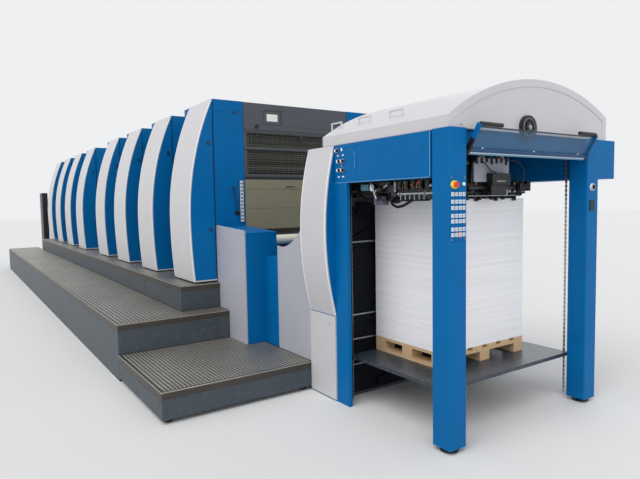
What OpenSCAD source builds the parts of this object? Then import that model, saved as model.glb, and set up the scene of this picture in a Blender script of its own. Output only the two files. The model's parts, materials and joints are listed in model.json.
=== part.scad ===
// Sheetfed offset printing press, eight units in line, seen from its delivery.
// X runs along the line towards the delivery, -Y is the operator side, Z is up.
// Inside the modules x = 0 is the front face of the two delivery posts.

/* [Delivery frame] */
// Width over the two delivery posts
frame_w = 1515; // [1300:5:1800]
// Side of a square delivery post
post_w = 140; // [100:5:200]
// Height of the top of the posts
post_h = 1880; // [1700:10:2100]
// Corner radius of the posts
post_round = 10; // [3:1:20]
// Height of the levelling feet
foot_h = 30; // [20:1:60]
// Diameter of a levelling foot
foot_d = 110; // [80:5:130]
// Open length of the pile bay behind the posts
bay_l = 810; // [760:10:1000]
// Length of the blue column behind the bay
column_l = 150; // [100:5:200]
// Length of the white side cover behind the column
side_cover_l = 330; // [250:10:450]
// Thickness of the side frames
side_frame_t = 25; // [20:5:60]
// Height of a side beam
beam_h = 270; // [200:5:350]
// Thickness of a side beam
beam_t = 60; // [40:5:70]
// Dark gap between a side beam and its neighbours
beam_gap = 8; // [4:1:15]
// How far the drive side box stands out
drive_box_w = 225; // [150:5:300]
// Height of the front header
header_h = 125; // [80:5:160]
// Width of the key panel on the operator post
key_panel_w = 124; // [90:2:130]
// Height of the bottom of the key panel
key_panel_z = 1245; // [1150:5:1300]
// Height of the key panel
key_panel_h = 362; // [300:2:400]
// Diameter of the emergency stop's yellow ring
stop_ring_d = 56; // [40:1:70]
// Diameter of a knob on the operator beam
knob_d = 26; // [18:1:34]
// Thickness of the front header
header_t = 60; // [40:5:90]

/* [Delivery covers] */
// How far the curved side cover bulges
side_bulge = 90; // [50:5:140]
// Radius of that bulge
side_bulge_r = 2230; // [1800:10:3000]
// Height of the widest place of the bulge
side_belly_z = 1250; // [1100:10:1400]
// Height of the joint between upper and lower side cover
side_joint_z = 637; // [500:1:800]
// Thickness of the cover skins
skin_t = 12; // [6:1:20]
// Air between a skin and what it covers
skin_gap = 0.3; // [0.2:0.1:0.8]

/* [Hood] */
// Length of the hood
hood_l = 1230; // [1000:10:1500]
// Height of the top of the hood
hood_top = 2226; // [2100:2:2400]
// Radius of the arch of the hood
hood_r = 1570; // [1450:10:2200]
// Width of the hood
hood_w = 1630; // [1500:10:1750]
// Thickness of the hood's shell
hood_t = 18; // [8:1:30]
// Width of the rim round the front panel
hood_rim = 45; // [30:1:70]
// Length of a loop handle
handle_l = 130; // [100:5:180]
// Height of a loop handle
handle_h = 58; // [40:2:80]
// Distance from one loop handle to the next
handle_pitch = 325; // [250:5:400]
// Diameter of a loop handle's bar
handle_d = 12; // [8:1:18]
// Diameter of the black disc on the hood's front
disc_d = 150; // [100:5:180]

/* [Front visor] */
// Length of a visor arm
arm_l = 172; // [140:2:200]
// Angle of the open visor from upright
arm_tilt = 31; // [20:1:40]
// Gap between the guard and the posts
visor_gap = 20; // [12:1:40]
// Height of the visor's hinge
visor_z = 1750; // [1700:2:1790]
// Diameter of the visor's hinge pins
visor_pin_d = 12; // [8:1:16]

/* [Pile and lift] */
// Length of the lift plate along the press
plate_l = 914; // [880:2:925]
// Gap between the lift plate and the side frames
plate_gap = 77.5; // [38:0.5:80]
// Thickness of the lift plate
plate_t = 26; // [15:1:40]
// Height of the top of the lift plate
plate_z = 343; // [330:1:500]
// How far the lift plate goes down
lift_drop = 300; // [100:5:300]
// Length of the sheets along the press
sheet_l = 680; // [500:10:685]
// Width of the sheets
sheet_w = 850; // [700:10:1000]
// Height of the pallet
pallet_h = 110; // [90:1:150]
// Height of the pile of sheets
pile_h = 1027; // [300:1:1040]
// Pitch of the hoist chains
chain_pitch = 31.75; // [19.05:0.05:38.1]
// Radius of a hoist chain's sprocket
sprocket_r = 36; // [25:1:45]
// Thickness of a pallet board
board_t = 22; // [16:1:28]
// Air above the pile of sheets
mech_gap = 12; // [8:1:30]
// Diameter of a suction ring of the sheet brake
ring_d = 90; // [60:5:100]
// Number of suction rings
ring_count = 7; // [3:1:9]

/* [Press line] */
// Number of printing units
unit_count = 8; // [2:1:8]
// Distance from one unit to the next
unit_pitch = 1150; // [1050:10:1400]
// Extra distance in the wide gap of the line
wide_gap = 460; // [0:10:700]
// Number of units before the wide gap, counted from the delivery
wide_after = 4; // [1:1:7]
// Distance from the posts' front face to the first unit
unit_start = 2800; // [2700:10:3200]
// Length of a unit tower
tower_l = 750; // [650:10:850]
// Width of a unit tower
tower_w = 1895; // [1800:5:2000]
// Height of the top of the towers
tower_top = 2470; // [2300:10:2700]
// Width of the middle of a tower between its side housings
core_w = 1266; // [1100:2:1400]
// Height of the base frame
base_h = 700; // [600:5:715]

/* [Neck] */
// Height of the neck's low middle
neck_h = 1000; // [850:10:1050]
// Width between the neck's side boxes
neck_open = 1248; // [1000:4:1300]
// Distance from the posts' front face to the neck's step
neck_step = 2200; // [2000:10:2400]
// Height of the delivery side of the neck's side boxes
neck_side_low = 1235; // [1100:5:1300]
// Height of the unit side of the neck's side boxes
neck_side_high = 1270; // [1100:5:1350]
// Distance from the posts' front face to the low end of the narrow side panels
neck_dip = 1950; // [1900:10:2050]
// Distance from the posts' front face to the bend of the narrow side panels
neck_crest = 1570; // [1500:10:1700]
// Height of that bend
neck_crest_h = 1255; // [1150:5:1400]
// Diameter of the roller in the neck
neck_roller_d = 97; // [60:1:110]

/* [Unit covers] */
// Length of a unit cover
cover_l = 550; // [450:5:620]
// Height of the bottom of a unit cover
cover_z = 735; // [728:1:760]
// How far a unit cover bulges
cover_bulge = 264; // [200:2:320]
// Height of the widest place of a unit cover
cover_belly_z = 1330; // [1200:10:1450]
// Radius of the bulge above its widest place
cover_r_up = 2720; // [2660:10:3500]
// Radius of the bulge below its widest place
cover_r_low = 6000; // [4500:50:9000]
// Gap between a unit cover and its tower
cover_gap = 8; // [6:1:15]
// Thickness of a unit cover's blue plates
cheek_t = 20; // [10:1:30]
// Diameter of a cover's hinge pins
hinge_pin_d = 12; // [8:1:16]
// Diameter of a round latch
latch_d = 40; // [25:1:60]
// Height of the lower latch
latch_z = 1231; // [1100:5:1400]
// Height of the upper latch
latch_top_z = 2055; // [1900:5:2200]

/* [End face guards] */
// Height of the top guard with the display
top_guard_h = 270; // [200:5:320]
// Height of the mesh guard
mesh_h = 466; // [350:2:520]
// Height of the olive lower guard
low_guard_h = 500; // [400:5:560]
// Thickness of the guard panels
guard_t = 25; // [15:1:40]
// Distance between the bars of the mesh
mesh_pitch = 60; // [45:1:90]
// Width of a bar of the mesh
mesh_bar = 5; // [3:0.5:8]
// Diameter of the rollers behind the mesh
roller_d = 120; // [80:5:160]

/* [Walkways] */
// Width over the two galleries
gallery_w = 3925; // [3600:5:4200]
// Height of the gallery
gallery_h = 483; // [400:1:520]
// How far the gallery reaches before the first unit
gallery_front = 250; // [150:5:300]
// How far the gallery reaches past the last unit
gallery_rear = 800; // [400:10:1200]
// Width over the plinth that carries the unit covers
plinth_w = 2667; // [2500:1:2800]
// Height of the plinth
plinth_h = 719; // [700:1:725]
// Height of the low platform at the neck
platform_h = 226; // [180:1:260]
// Thickness of a tread plate
tread_t = 6; // [4:1:10]
// Width of a light nosing strip
nosing_w = 30; // [15:1:50]
// Thickness of a nosing strip
nosing_t = 3; // [2:0.5:6]

/* [Feeder] */
// Length of the feeder behind the last unit
feeder_l = 2450; // [2200:10:3000]
// Length of the feeder's pile frame
feeder_bay_l = 1390; // [1300:10:1500]
// Height of the feeder's frame
feeder_h = 1850; // [1600:10:2100]
// Height of the feeder's beams
feeder_beam_h = 250; // [150:10:320]
// Height of the feed board where it leaves the feeder
feed_z = 1250; // [1100:10:1400]
// Height of the feed board where it reaches the last unit
feed_low_z = 1080; // [950:10:1150]
// Thickness of the feed board
feed_t = 60; // [30:5:90]
// Height of the top of the feeder's lift plate
feeder_plate_z = 150; // [120:5:400]

/* [Hidden] */
blue = "#0a67a3";
white = "#d9d6cf";
pale_grey = "#b9bcc4";
dark_grey = "#3c4048";
olive = "#6f7263";
black = "#1b1b1d";
steel = "#9aa0a6";
wood = "#c69a62";
paper = "#eef0f2";
fine = 64;
half_w = frame_w / 2;
half_tower = tower_w / 2;
half_core = core_w / 2;
last_unit = -unit_start - (unit_count - 1) * unit_pitch - (unit_count > wide_after ? wide_gap : 0);
line_rear = last_unit - tower_l;
feeder_rear = line_rear - feeder_l;
bay_rear = post_w + bay_l;
column_rear = bay_rear + column_l;
delivery_rear = column_rear + side_cover_l;
beam_z = post_h - beam_h - 5;
beam_top = beam_z + beam_h;
header_x = -48;
hood_front_x = -20;
hood_y = -half_w + beam_gap;
hood_shift = 75;
hood_mid = hood_y + hood_w / 2 + hood_shift;
panel_set_back = 3;
foot_in = 60;
disc_y = -43;
disc_z = post_h + 37;
visor_x = -20;
visor_w = frame_w - 2 * post_w - 2 * visor_gap;
arm_w = 30;
arm_t = 12;
grip_r = 12;
grip_l = 190;
pallet_mid = 15;
pile_x = -385;
pile_z = plate_z + pallet_h;
pile_top = pile_z + pile_h;
mech_z = pile_top + mech_gap;
rail_w = 40;
jog_gap = 6;
plate_front = -150;
plate_w = frame_w - 2 * side_frame_t - 2 * plate_gap;
chain_out = 14;
chain_in = 40;
chain_y = plate_w / 2 + chain_out;
rail_in = 69;
rail_y = chain_y - rail_in;
chain_x = [plate_front - plate_l + chain_in, plate_front - chain_in];
chain_half = 9.3;
chain_low = 20;
chain_top = beam_z + 180;
feeder_plate_x = feeder_rear + feeder_bay_l - 200;
feeder_pile_x = feeder_plate_x - (plate_l + sheet_l) / 2;
feeder_chain_x = [feeder_plate_x - plate_l + chain_in, feeder_plate_x - chain_in];
feeder_chain_top = feeder_h - 110;
guard_rod_z = [255, 445, 630, 1175];
hose_x = -640;
hose_z = mech_z + 50;
hose_r = 70;
front_reach = visor_x + arm_l * sin(arm_tilt) + arm_w / 2 * cos(arm_tilt);
x_shift = -(front_reach + feeder_rear) / 2;
plinth_front = -unit_start + 45;

// Front face of unit i, where unit 0 is next to the delivery
function unit_x(i) = -unit_start - i * unit_pitch - (i >= wide_after ? wide_gap : 0);
// How far an arc of radius r stands out at height z, when it stands out most by d at height m
function bulge(z, m, d, r) = d - (r - sqrt(r * r - pow(z - m, 2)));

module placed() {
    translate([x_shift, 0, 0])
        children();
}

module both_sides() {
    children();
    mirror([0, 1, 0])
        children();
}

// A profile drawn in Y and Z, carried along X from x0
module along_x(x0, l) {
    translate([x0, 0, 0])
        rotate([90, 0, 90])
            linear_extrude(l)
                children();
}

// A profile drawn in X and Z, carried along Y from y0
module along_y(y0, l) {
    translate([0, y0 + l, 0])
        rotate([90, 0, 0])
            linear_extrude(l)
                children();
}

module box(x0, x1, y0, y1, z0, z1) {
    translate([x0, y0, z0])
        cube([x1 - x0, y1 - y0, z1 - z0]);
}

module rod_x(x0, l, y, z, d) {
    translate([x0, y, z])
        rotate([0, 90, 0])
            cylinder(h = l, d = d, $fn = fine);
}

module rod_y(x, y0, l, z, d) {
    translate([x, y0, z])
        rotate([-90, 0, 0])
            cylinder(h = l, d = d, $fn = fine);
}

module rounded_section(w, d, r) {
    square([w - 2 * r, d], center = true);
    square([w, d - 2 * r], center = true);
    for (x = [-1, 1], y = [-1, 1])
        translate([x * (w / 2 - r), y * (d / 2 - r)])
            circle(r, $fn = fine);
}

module delivery_posts() {
    color(blue)
        placed()
            both_sides() {
                translate([-post_w / 2, -half_w + post_w / 2, foot_h])
                    linear_extrude(post_h - foot_h)
                        rounded_section(post_w, post_w, post_round);
                rod_y(visor_x, -half_w + post_w - 5, half_w - post_w + 4.5 - visor_w / 2 + arm_t,
                    visor_z, visor_pin_d);
            }
}

module foot(x, y, d, h) {
    translate([x, y, 0]) {
        cylinder(h = h * 0.4, d = d, $fn = fine);
        cylinder(h = h, d = d * 0.45, $fn = fine);
    }
}

module machine_feet() {
    color(black)
        placed() {
            both_sides()
                foot(-post_w / 2, -half_w + post_w / 2, foot_d, foot_h);
            for (p = [[-delivery_rear - foot_in, -gallery_w / 2 + foot_in],
                    [-unit_start + gallery_front + foot_in, -gallery_w / 2 + foot_in],
                    [-delivery_rear - foot_in, -half_w - foot_in]])
                foot(p[0], p[1], foot_d / 2, foot_h);
        }
}

// Outline of the curved side cover, outward from the frame, inset by t and never thinner than m
module side_bulge_outline(z0, z1, t, m) {
    n = 20;
    polygon(concat(
        [[-half_w + 1, z1], [-half_w + 1, z0]],
        [for (k = [0:n])
            let (z = z0 + (z1 - z0) * k / n)
            [-half_w - max(m, bulge(z, side_belly_z, side_bulge - t, side_bulge_r - t)), z]]));
}

module side_frames() {
    color(blue)
        placed()
            both_sides() {
                box(-column_rear, -bay_rear, -half_w, -half_w + side_frame_t, 0, beam_z);
                box(-delivery_rear, -column_rear, -half_w, -half_w + side_frame_t, 0, beam_top);
                along_x(-delivery_rear + 2, side_cover_l - 4)
                    side_bulge_outline(side_joint_z, beam_top, skin_t + skin_gap, 0);
            }
}

module top_beams() {
    tongue = 15;
    color(blue)
        placed() {
            both_sides() {
                box(-column_rear + 10, -post_w - beam_gap, -half_w, -half_w + beam_t,
                    beam_z, beam_top);
                box(-post_w - 60, -post_w, -half_w + tongue, -half_w + beam_t - tongue,
                    beam_z + tongue, beam_top - tongue);
            }
            box(header_x - header_t, header_x, -half_w + post_w, half_w - post_w,
                post_h - header_h, post_h);
            box(-column_rear + 10, -10, half_w + skin_gap, half_w + drive_box_w,
                beam_z + 2, post_h);
        }
}

module knob(x, z) {
    translate([x, -half_w, z])
        rotate([90, 0, 0]) {
            cylinder(h = 8, d = knob_d, $fn = fine);
            cylinder(h = 22, d = knob_d * 0.75, $fn = fine);
        }
}

module control_knobs() {
    pitch_x = 45;
    pitch_z = 62;
    color(black)
        placed() {
            knob(-column_rear + 49, beam_z + 91 + 2 * pitch_z + 15);
            for (k = [0:1], j = [0:1])
                knob(-column_rear + 70 + k * pitch_x, beam_z + 91 + j * pitch_z);
            rod_x(hood_front_x - panel_set_back, 18, disc_y, disc_z, disc_d);
            rod_x(hood_front_x - panel_set_back + 18, 8, disc_y, disc_z, 28);
        }
}

// Cross-section of the hood, inset by t and carried on downward by b
module hood_outline(t, b = 0) {
    intersection() {
        translate([hood_mid, hood_top - hood_r])
            circle(hood_r - t, $fn = 360);
        translate([hood_y + t, post_h - b])
            square([hood_w - 2 * t, hood_top]);
    }
}

module hood_shell() {
    color(white)
        placed()
            difference() {
                along_x(hood_front_x - hood_l, hood_l)
                    hood_outline(0);
                along_x(hood_front_x - hood_l + hood_t, hood_l - 2 * hood_t)
                    hood_outline(hood_t, 1);
                along_x(hood_front_x - 2 * hood_t, 3 * hood_t)
                    hood_outline(hood_rim, 1);
            }
}

module hood_front() {
    color(white)
        placed()
            along_x(hood_front_x - hood_t, hood_t - panel_set_back)
                hood_outline(hood_rim + skin_gap);
}

module hood_handle(x, y) {
    z = hood_top - hood_r + sqrt(pow(hood_r, 2) - pow(y - hood_mid, 2));
    leg = (handle_l - handle_d) / 2;
    difference() {
        for (s = [-1, 1])
            translate([x + s * leg, y, z - handle_d])
                cylinder(h = handle_h, d = handle_d, $fn = fine);
        along_x(x - handle_l, 2 * handle_l)
            hood_outline(-skin_gap);
    }
    rod_x(x - handle_l / 2, handle_l, y, z + handle_h - handle_d, handle_d);
}

module hood_handles() {
    color(white)
        placed()
            for (k = [0:2])
                hood_handle(hood_front_x - 528 - k * handle_pitch, hood_y + 92);
}

module delivery_covers() {
    color(white)
        placed()
            both_sides() {
                difference() {
                    along_x(-delivery_rear, side_cover_l)
                        side_bulge_outline(side_joint_z + 3, beam_top, 0, 5);
                    along_x(-delivery_rear - 1, side_cover_l + 2)
                        side_bulge_outline(side_joint_z, beam_top + 1, skin_t, 0);
                    box(-delivery_rear - 1, -column_rear + 1, -half_w - 0.2, -half_w + 2,
                        side_joint_z, beam_top + 1);
                }
                box(-delivery_rear, -column_rear, -half_w - skin_t, -half_w - skin_gap,
                    12, side_joint_z - 3);
            }
}

// The body behind the pile, with the sloping guard of the sheet conveyor on its back
module delivery_body() {
    slope_foot = neck_crest + 130;
    slope_z = neck_crest_h - 75 + skin_gap;
    color(dark_grey)
        placed() {
            along_y(-half_w + side_frame_t, frame_w - 2 * side_frame_t)
                polygon([[-delivery_rear, 0], [-column_rear - 20, 0], [-column_rear - 20, beam_top],
                    [-delivery_rear + 90, beam_top], [-delivery_rear, beam_top - 60]]);
            along_y(-rail_y, 2 * rail_y)
                polygon([[-delivery_rear + 1, slope_z], [-delivery_rear + 1, beam_top - 80],
                    [-delivery_rear - 40, beam_top - 90], [-slope_foot, neck_crest_h],
                    [-slope_foot, slope_z]]);
        }
}

module rear_guard() {
    rod_d = 14;
    stay_y = frame_w / 5;
    upright_d = 22;
    upright_x = -column_rear + 20;
    upright_y = -half_w + side_frame_t + 40;
    upright_h = 250;
    color(black)
        placed() {
            box(-column_rear - 20, -column_rear, -half_w + side_frame_t, half_w - side_frame_t,
                foot_h, pile_top - 60);
            for (z = guard_rod_z) {
                rod_y(-column_rear + rod_d, -half_w + side_frame_t, frame_w - 2 * side_frame_t,
                    z, rod_d);
                for (y = [-stay_y, stay_y])
                    rod_x(-column_rear - 1, rod_d, y, z, rod_d - 4);
            }
            translate([upright_x, upright_y, 0])
                cylinder(h = upright_h, d = upright_d, $fn = fine);
            box(-column_rear - 1, upright_x, upright_y - 6, upright_y + 6,
                upright_h - 60, upright_h - 40);
        }
}

module visor_at() {
    translate([visor_x, 0, visor_z])
        rotate([0, arm_tilt, 0])
            children();
}

module visor_frame() {
    color(blue)
        placed()
            visor_at() {
                for (s = [-1, 1])
                    difference() {
                        translate([-arm_w / 2, s * (visor_w / 2 - arm_t / 2) - arm_t / 2, -arm_w / 2])
                            cube([arm_w, arm_t, arm_l + arm_w / 2]);
                        rod_y(0, s * visor_w / 2 - 30, 60, 0, visor_pin_d + 0.2);
                    }
                translate([-13, -visor_w / 2 + arm_t, -12])
                    cube([26, visor_w - 2 * arm_t, 24]);
            }
}

module visor_pane() {
    color("#a8bccb", 0.5)
        placed()
            visor_at()
                translate([-2, -visor_w / 2 + arm_t, 12])
                    cube([4, visor_w - 2 * arm_t, arm_l - grip_r - 14]);
}

module visor_grips() {
    color(black)
        placed()
            visor_at()
                for (s = [-1, 1])
                    rod_y(0, s > 0 ? visor_w / 2 - arm_t - grip_l : -visor_w / 2 + arm_t,
                        grip_l, arm_l, 2 * grip_r);
}

module post_keys() {
    key = 20;
    key_pitch = 29;
    rows = [25, 63, 115, 153, 205, 243, 270];
    y0 = -half_w + 2;
    stop_z = key_panel_z + 316;
    dial_d = 50;
    dial_y = half_w - post_w * 0.6;
    slot_z = key_panel_z + post_w;
    color(pale_grey)
        placed() {
            box(0, panel_set_back, y0, y0 + key_panel_w, key_panel_z, key_panel_z + key_panel_h);
            for (k = [0:3], z = rows)
                box(panel_set_back, panel_set_back + 5, y0 + 10 + k * key_pitch,
                    y0 + 10 + key + k * key_pitch, key_panel_z + z, key_panel_z + z + key + 4);
            rod_x(panel_set_back, 19, y0 + stop_ring_d / 2, stop_z, stop_ring_d);
            rod_x(panel_set_back + 19, 21, y0 + stop_ring_d / 2, stop_z, stop_ring_d * 0.65);
            rod_x(panel_set_back, 6, y0 + 105, stop_z + 2, 18);
            rod_x(0, 12, dial_y, stop_z - 14, dial_d);
            box(0, 5, dial_y - dial_d / 2, dial_y + dial_d / 2, slot_z, slot_z + post_w / 2);
        }
}

// A lift plate with eyes round its four chains, whose front edge is at x
module plate_with_eyes(x, z, l, w) {
    ears = [x - l + chain_in, x - chain_in];
    ear_w = 44;
    hole_w = 19;
    difference() {
        union() {
            box(x - l, x, -w / 2, w / 2, z - plate_t, z);
            for (e = ears)
                box(e - ear_w / 2, e + ear_w / 2, -w / 2 - chain_out - 12, w / 2 + chain_out + 12,
                    z - plate_t, z - 4);
        }
        for (e = ears, s = [-1, 1])
            box(e - hole_w / 2, e + hole_w / 2, s * (w / 2 + chain_out) - 2,
                s * (w / 2 + chain_out) + 2, z - plate_t - 1, z + 1);
    }
}

module lift_plate() {
    color(dark_grey)
        placed()
            plate_with_eyes(plate_front, plate_z, plate_l, plate_w);
}

// A four-way pallet of boards and blocks, l by w by h
module boarded_pallet(l, w, h) {
    board_w = 100;
    block_h = h - 3 * board_t;
    for (k = [0:2]) {
        translate([0, k * (w - board_w) / 2, 0])
            cube([l, board_w, board_t]);
        for (j = [0:2])
            translate([j * (l - board_w) / 2, k * (w - board_w) / 2, board_t])
                cube([board_w, board_w, block_h]);
    }
    for (j = [0:2])
        translate([j * (l - board_w) / 2, 0, board_t + block_h])
            cube([board_w, w, board_t]);
    for (k = [0:5])
        translate([0, k * (w - board_w) / 5, 2 * board_t + block_h])
            cube([l, board_w, board_t]);
}

module pallet() {
    color(wood)
        placed()
            translate([pile_x - sheet_l, pallet_mid - sheet_w / 2, plate_z])
                boarded_pallet(sheet_l, sheet_w, pallet_h);
}

module paper_pile() {
    color(paper)
        placed()
            translate([pile_x - sheet_l, pallet_mid - sheet_w / 2, pile_z])
                cube([sheet_l, sheet_w, pile_h]);
}

// One strand of roller chain from the floor side to z1, as the outline of its links seen along Y
module chain_strand(x, z1) {
    n = ceil((z1 + 12 - chain_low) / chain_pitch);
    wide = 9;
    narrow = 5;
    right = [for (k = [0:n - 1]) each [
        [narrow, (k + 0.19) * chain_pitch], [wide, (k + 0.27) * chain_pitch],
        [wide, (k + 0.73) * chain_pitch], [narrow, (k + 0.81) * chain_pitch]]];
    left = [for (k = [len(right) - 1:-1:0]) [-right[k][0], right[k][1]]];
    translate([x, 1.5, chain_low])
        rotate([90, 0, 0])
            linear_extrude(3)
                polygon(concat(right, left));
}

module hoist_chains() {
    color(steel)
        placed()
            both_sides()
                translate([0, -chain_y, 0]) {
                    for (x = chain_x)
                        chain_strand(x, chain_top);
                    for (x = feeder_chain_x)
                        chain_strand(x, feeder_chain_top);
                }
}

// A cross shaft from wall to wall with a sprocket at each side, whose chain runs down at x
module hoist_shaft(x, side, z, wall) {
    shaft_x = x + side * (sprocket_r + chain_half);
    rod_y(shaft_x, -half_w + wall, frame_w - 2 * wall, z, 40);
    for (s = [-1, 1])
        rod_y(shaft_x, s * chain_y - 4, 8, z, 2 * sprocket_r);
}

module hoist_shafts() {
    color(dark_grey)
        placed() {
            hoist_shaft(chain_x[0], 1, chain_top, beam_t);
            hoist_shaft(chain_x[1], -1, chain_top, beam_t);
        }
}

// Rails over the pile, the suction rings at its rear edge, the side joggers and the front stops
module sheet_brake() {
    rail_z = mech_z + 38;
    far_y = pallet_mid + sheet_w / 2 - 50;
    ring_x = pile_x - sheet_l + 60;
    tube_z = mech_z + 60;
    ring_pitch = (sheet_w - 190) / (ring_count - 1);
    ring_l = 40;
    cross_z = rail_z + 2;
    stop_x = pile_x + jog_gap;
    bar_z = rail_z + 20;
    bar_l = far_y + rail_w + rail_y;
    color(black)
        placed() {
            box(-column_rear - 20, -post_w - 20, -rail_y - rail_w, -rail_y, rail_z, beam_z - 5);
            box(-400, -340, -half_w + beam_t, -rail_y, beam_z - 5, beam_z + 40);
            box(-column_rear - 20, stop_x + 60, far_y, far_y + rail_w, rail_z, beam_z - 5);
            box(-column_rear - 20, ring_x + 50, -rail_y, far_y + 1, cross_z, cross_z + 30);
            for (k = [0:ring_count - 1])
                rod_y(ring_x, pallet_mid + (k - (ring_count - 1) / 2) * ring_pitch - ring_l / 2,
                    ring_l, tube_z, ring_d);
            for (s = [-1, 1]) {
                jog_y = pallet_mid + s * (sheet_w / 2 + jog_gap + 2);
                from_y = s < 0 ? -rail_y : far_y + rail_w - 1;
                for (x = [pile_x - sheet_l * 0.7, pile_x - sheet_l * 0.2])
                    rod_y(x, min(from_y, jog_y), abs(from_y - jog_y), cross_z + 10, 16);
                box(pile_x - sheet_l * 0.8, pile_x - sheet_l * 0.15, jog_y - 2, jog_y + 2,
                    pile_top - 10, cross_z + 30);
            }
            box(stop_x + 30, stop_x + 60, -rail_y, -rail_y + bar_l, bar_z, bar_z + 30);
            for (k = [0:3])
                translate([0, pallet_mid + (k - 1.5) * sheet_w * 0.24, 0]) {
                    box(stop_x, stop_x + 4, -20, 20, pile_top - 18, bar_z + 30);
                    box(stop_x + 3, stop_x + 31, -8, 8, bar_z + 5, bar_z + 25);
                }
            for (s = [-1, 1])
                box(hose_x + s * hose_r - 18, hose_x + s * hose_r + 18, -rail_y, -rail_y + 45,
                    hose_z, hose_z + 20);
        }
}

// The light unit that hangs on a cross tube over the front of the pile
module stop_unit() {
    face_x = -280;
    tube_d = 30;
    tube_x = face_x - 40;
    tube_z = beam_top - 65;
    plate_top = beam_top - 130;
    hanger_w = 30;
    color(pale_grey)
        placed() {
            rod_y(tube_x, -half_w + beam_t, frame_w - 2 * beam_t, tube_z, tube_d);
            along_x(face_x - 12, 12)
                polygon([[-225, pile_top + 110], [130, pile_top + 110], [130, plate_top],
                    [-130, plate_top], [-160, plate_top + 15], [-190, plate_top],
                    [-225, plate_top - 35]]);
            for (y = [-120, 60])
                box(tube_x - 10, face_x - 11, y, y + hanger_w, plate_top - 40, tube_z + 5);
            box(face_x, face_x + 45, -100, 78, mech_z + 80, mech_z + 150);
        }
}

module drag_hose() {
    color(black)
        placed()
            translate([hose_x, -rail_y + 25, hose_z])
                rotate([-90, 0, 0])
                    rotate_extrude(angle = 180, $fn = fine)
                        translate([hose_r, 0])
                            circle(14, $fn = 24);
}

// Light panels on the neck: a wide one beside the first unit, a narrow one with a drawn-in edge
module neck_panels() {
    dip_h = 1108;
    n = 10;
    depth = 110;
    color(pale_grey)
        placed()
            both_sides() {
                along_y(-half_tower, skin_t)
                    polygon([[-unit_start, platform_h], [-neck_step, platform_h],
                        [-neck_step, neck_side_low], [-unit_start, neck_side_high]]);
                along_y(-half_w - 2, skin_t)
                    polygon(concat(
                        [[-delivery_rear, platform_h], [-delivery_rear, neck_crest_h + 45],
                            [-neck_crest, neck_crest_h]],
                        [for (k = [0:n])
                            let (t = k / n)
                            [-neck_crest - (neck_dip - neck_crest) * t,
                                neck_crest_h - (neck_crest_h - dip_h) * t
                                    - depth * 2 * t * (1 - t)]],
                        [[-neck_dip, platform_h]]));
            }
}

// The neck is low between its two side boxes, so that the sheets' way out of the first unit shows
// The neck is low between its two side boxes, so that the sheets' way out of the first unit shows
module neck_housing() {
    side_t = half_tower - skin_t - neck_open / 2;
    color(blue)
        placed() {
            box(-unit_start, -neck_step, -half_tower + skin_t, half_tower - skin_t, 0, neck_h);
            both_sides()
                along_y(-half_tower + skin_t, side_t)
                    polygon([[-unit_start, neck_h - 1], [-neck_step, neck_h - 1],
                        [-neck_step, neck_side_low - 20], [-unit_start, neck_side_high - 20]]);
            along_y(-half_w + 10, frame_w - 20)
                polygon([[-neck_step, 0], [-delivery_rear, 0], [-delivery_rear, neck_crest_h - 75],
                    [-neck_crest, neck_crest_h - 100], [-neck_dip, neck_h], [-neck_step, neck_h]]);
            rod_y(-unit_start + 60, -neck_open / 2, neck_open, neck_h + neck_roller_d / 2 + 50,
                neck_roller_d);
        }
}

// Plan of one side's gallery and plinth, drawn on the operator side
module gallery_plan() {
    x0 = line_rear - gallery_rear;
    x1 = -unit_start + gallery_front;
    translate([x0, -gallery_w / 2 + nosing_t])
        square([x1 - x0, (gallery_w - plinth_w) / 2 - nosing_t]);
    translate([plinth_front, -plinth_w / 2])
        square([x1 - plinth_front, (plinth_w - tower_w) / 2 - 0.5]);
}

module plinth_plan() {
    translate([line_rear, -plinth_w / 2])
        square([plinth_front - line_rear, (plinth_w - tower_w) / 2 - 0.5]);
}

module platform_plan() {
    rear = -unit_start + gallery_front + skin_gap;
    front = -delivery_rear - skin_gap;
    translate([rear, -gallery_w / 2 + nosing_t])
        square([front - rear, (gallery_w - tower_w) / 2 - nosing_t - skin_gap]);
    translate([-neck_step + skin_gap, -half_tower - 1])
        square([neck_step + front - skin_gap, half_tower - half_w - 1 - skin_gap]);
}

module slab(z, t) {
    translate([0, 0, z])
        linear_extrude(t)
            children();
}

module walkway_frames() {
    color(dark_grey)
        placed()
            both_sides() {
                slab(0, gallery_h - tread_t)
                    gallery_plan();
                slab(0, plinth_h - tread_t)
                    plinth_plan();
            }
}

module platform() {
    color(dark_grey)
        placed()
            slab(foot_h, platform_h - tread_t - foot_h)
                platform_plan();
}

module treads() {
    color("#5b544b")
        placed() {
            both_sides() {
                slab(gallery_h - tread_t, tread_t)
                    gallery_plan();
                slab(plinth_h - tread_t, tread_t)
                    plinth_plan();
            }
            slab(platform_h - tread_t, tread_t)
                platform_plan();
            for (i = [1:unit_count - 1])
                box(unit_x(i), unit_x(i - 1) - tower_l, -half_tower, half_tower,
                    base_h, base_h + tread_t);
        }
}

// Light strips on the outer edges of the gallery, the plinth and the platform
module nosings() {
    x1 = -unit_start + gallery_front;
    color(pale_grey)
        placed() {
            both_sides() {
                box(line_rear - gallery_rear, x1, -gallery_w / 2, -gallery_w / 2 + nosing_t,
                    gallery_h - nosing_w, gallery_h);
                box(line_rear, plinth_front, -plinth_w / 2 - nosing_t, -plinth_w / 2,
                    plinth_h - nosing_w, plinth_h);
            }
            box(x1 + skin_gap, -delivery_rear - skin_gap, -gallery_w / 2, -gallery_w / 2 + nosing_t,
                platform_h - nosing_w, platform_h);
        }
}

module base_frame() {
    color(dark_grey)
        placed()
            box(line_rear - 50, -unit_start, -half_tower, half_tower, 0, base_h);
}

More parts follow.
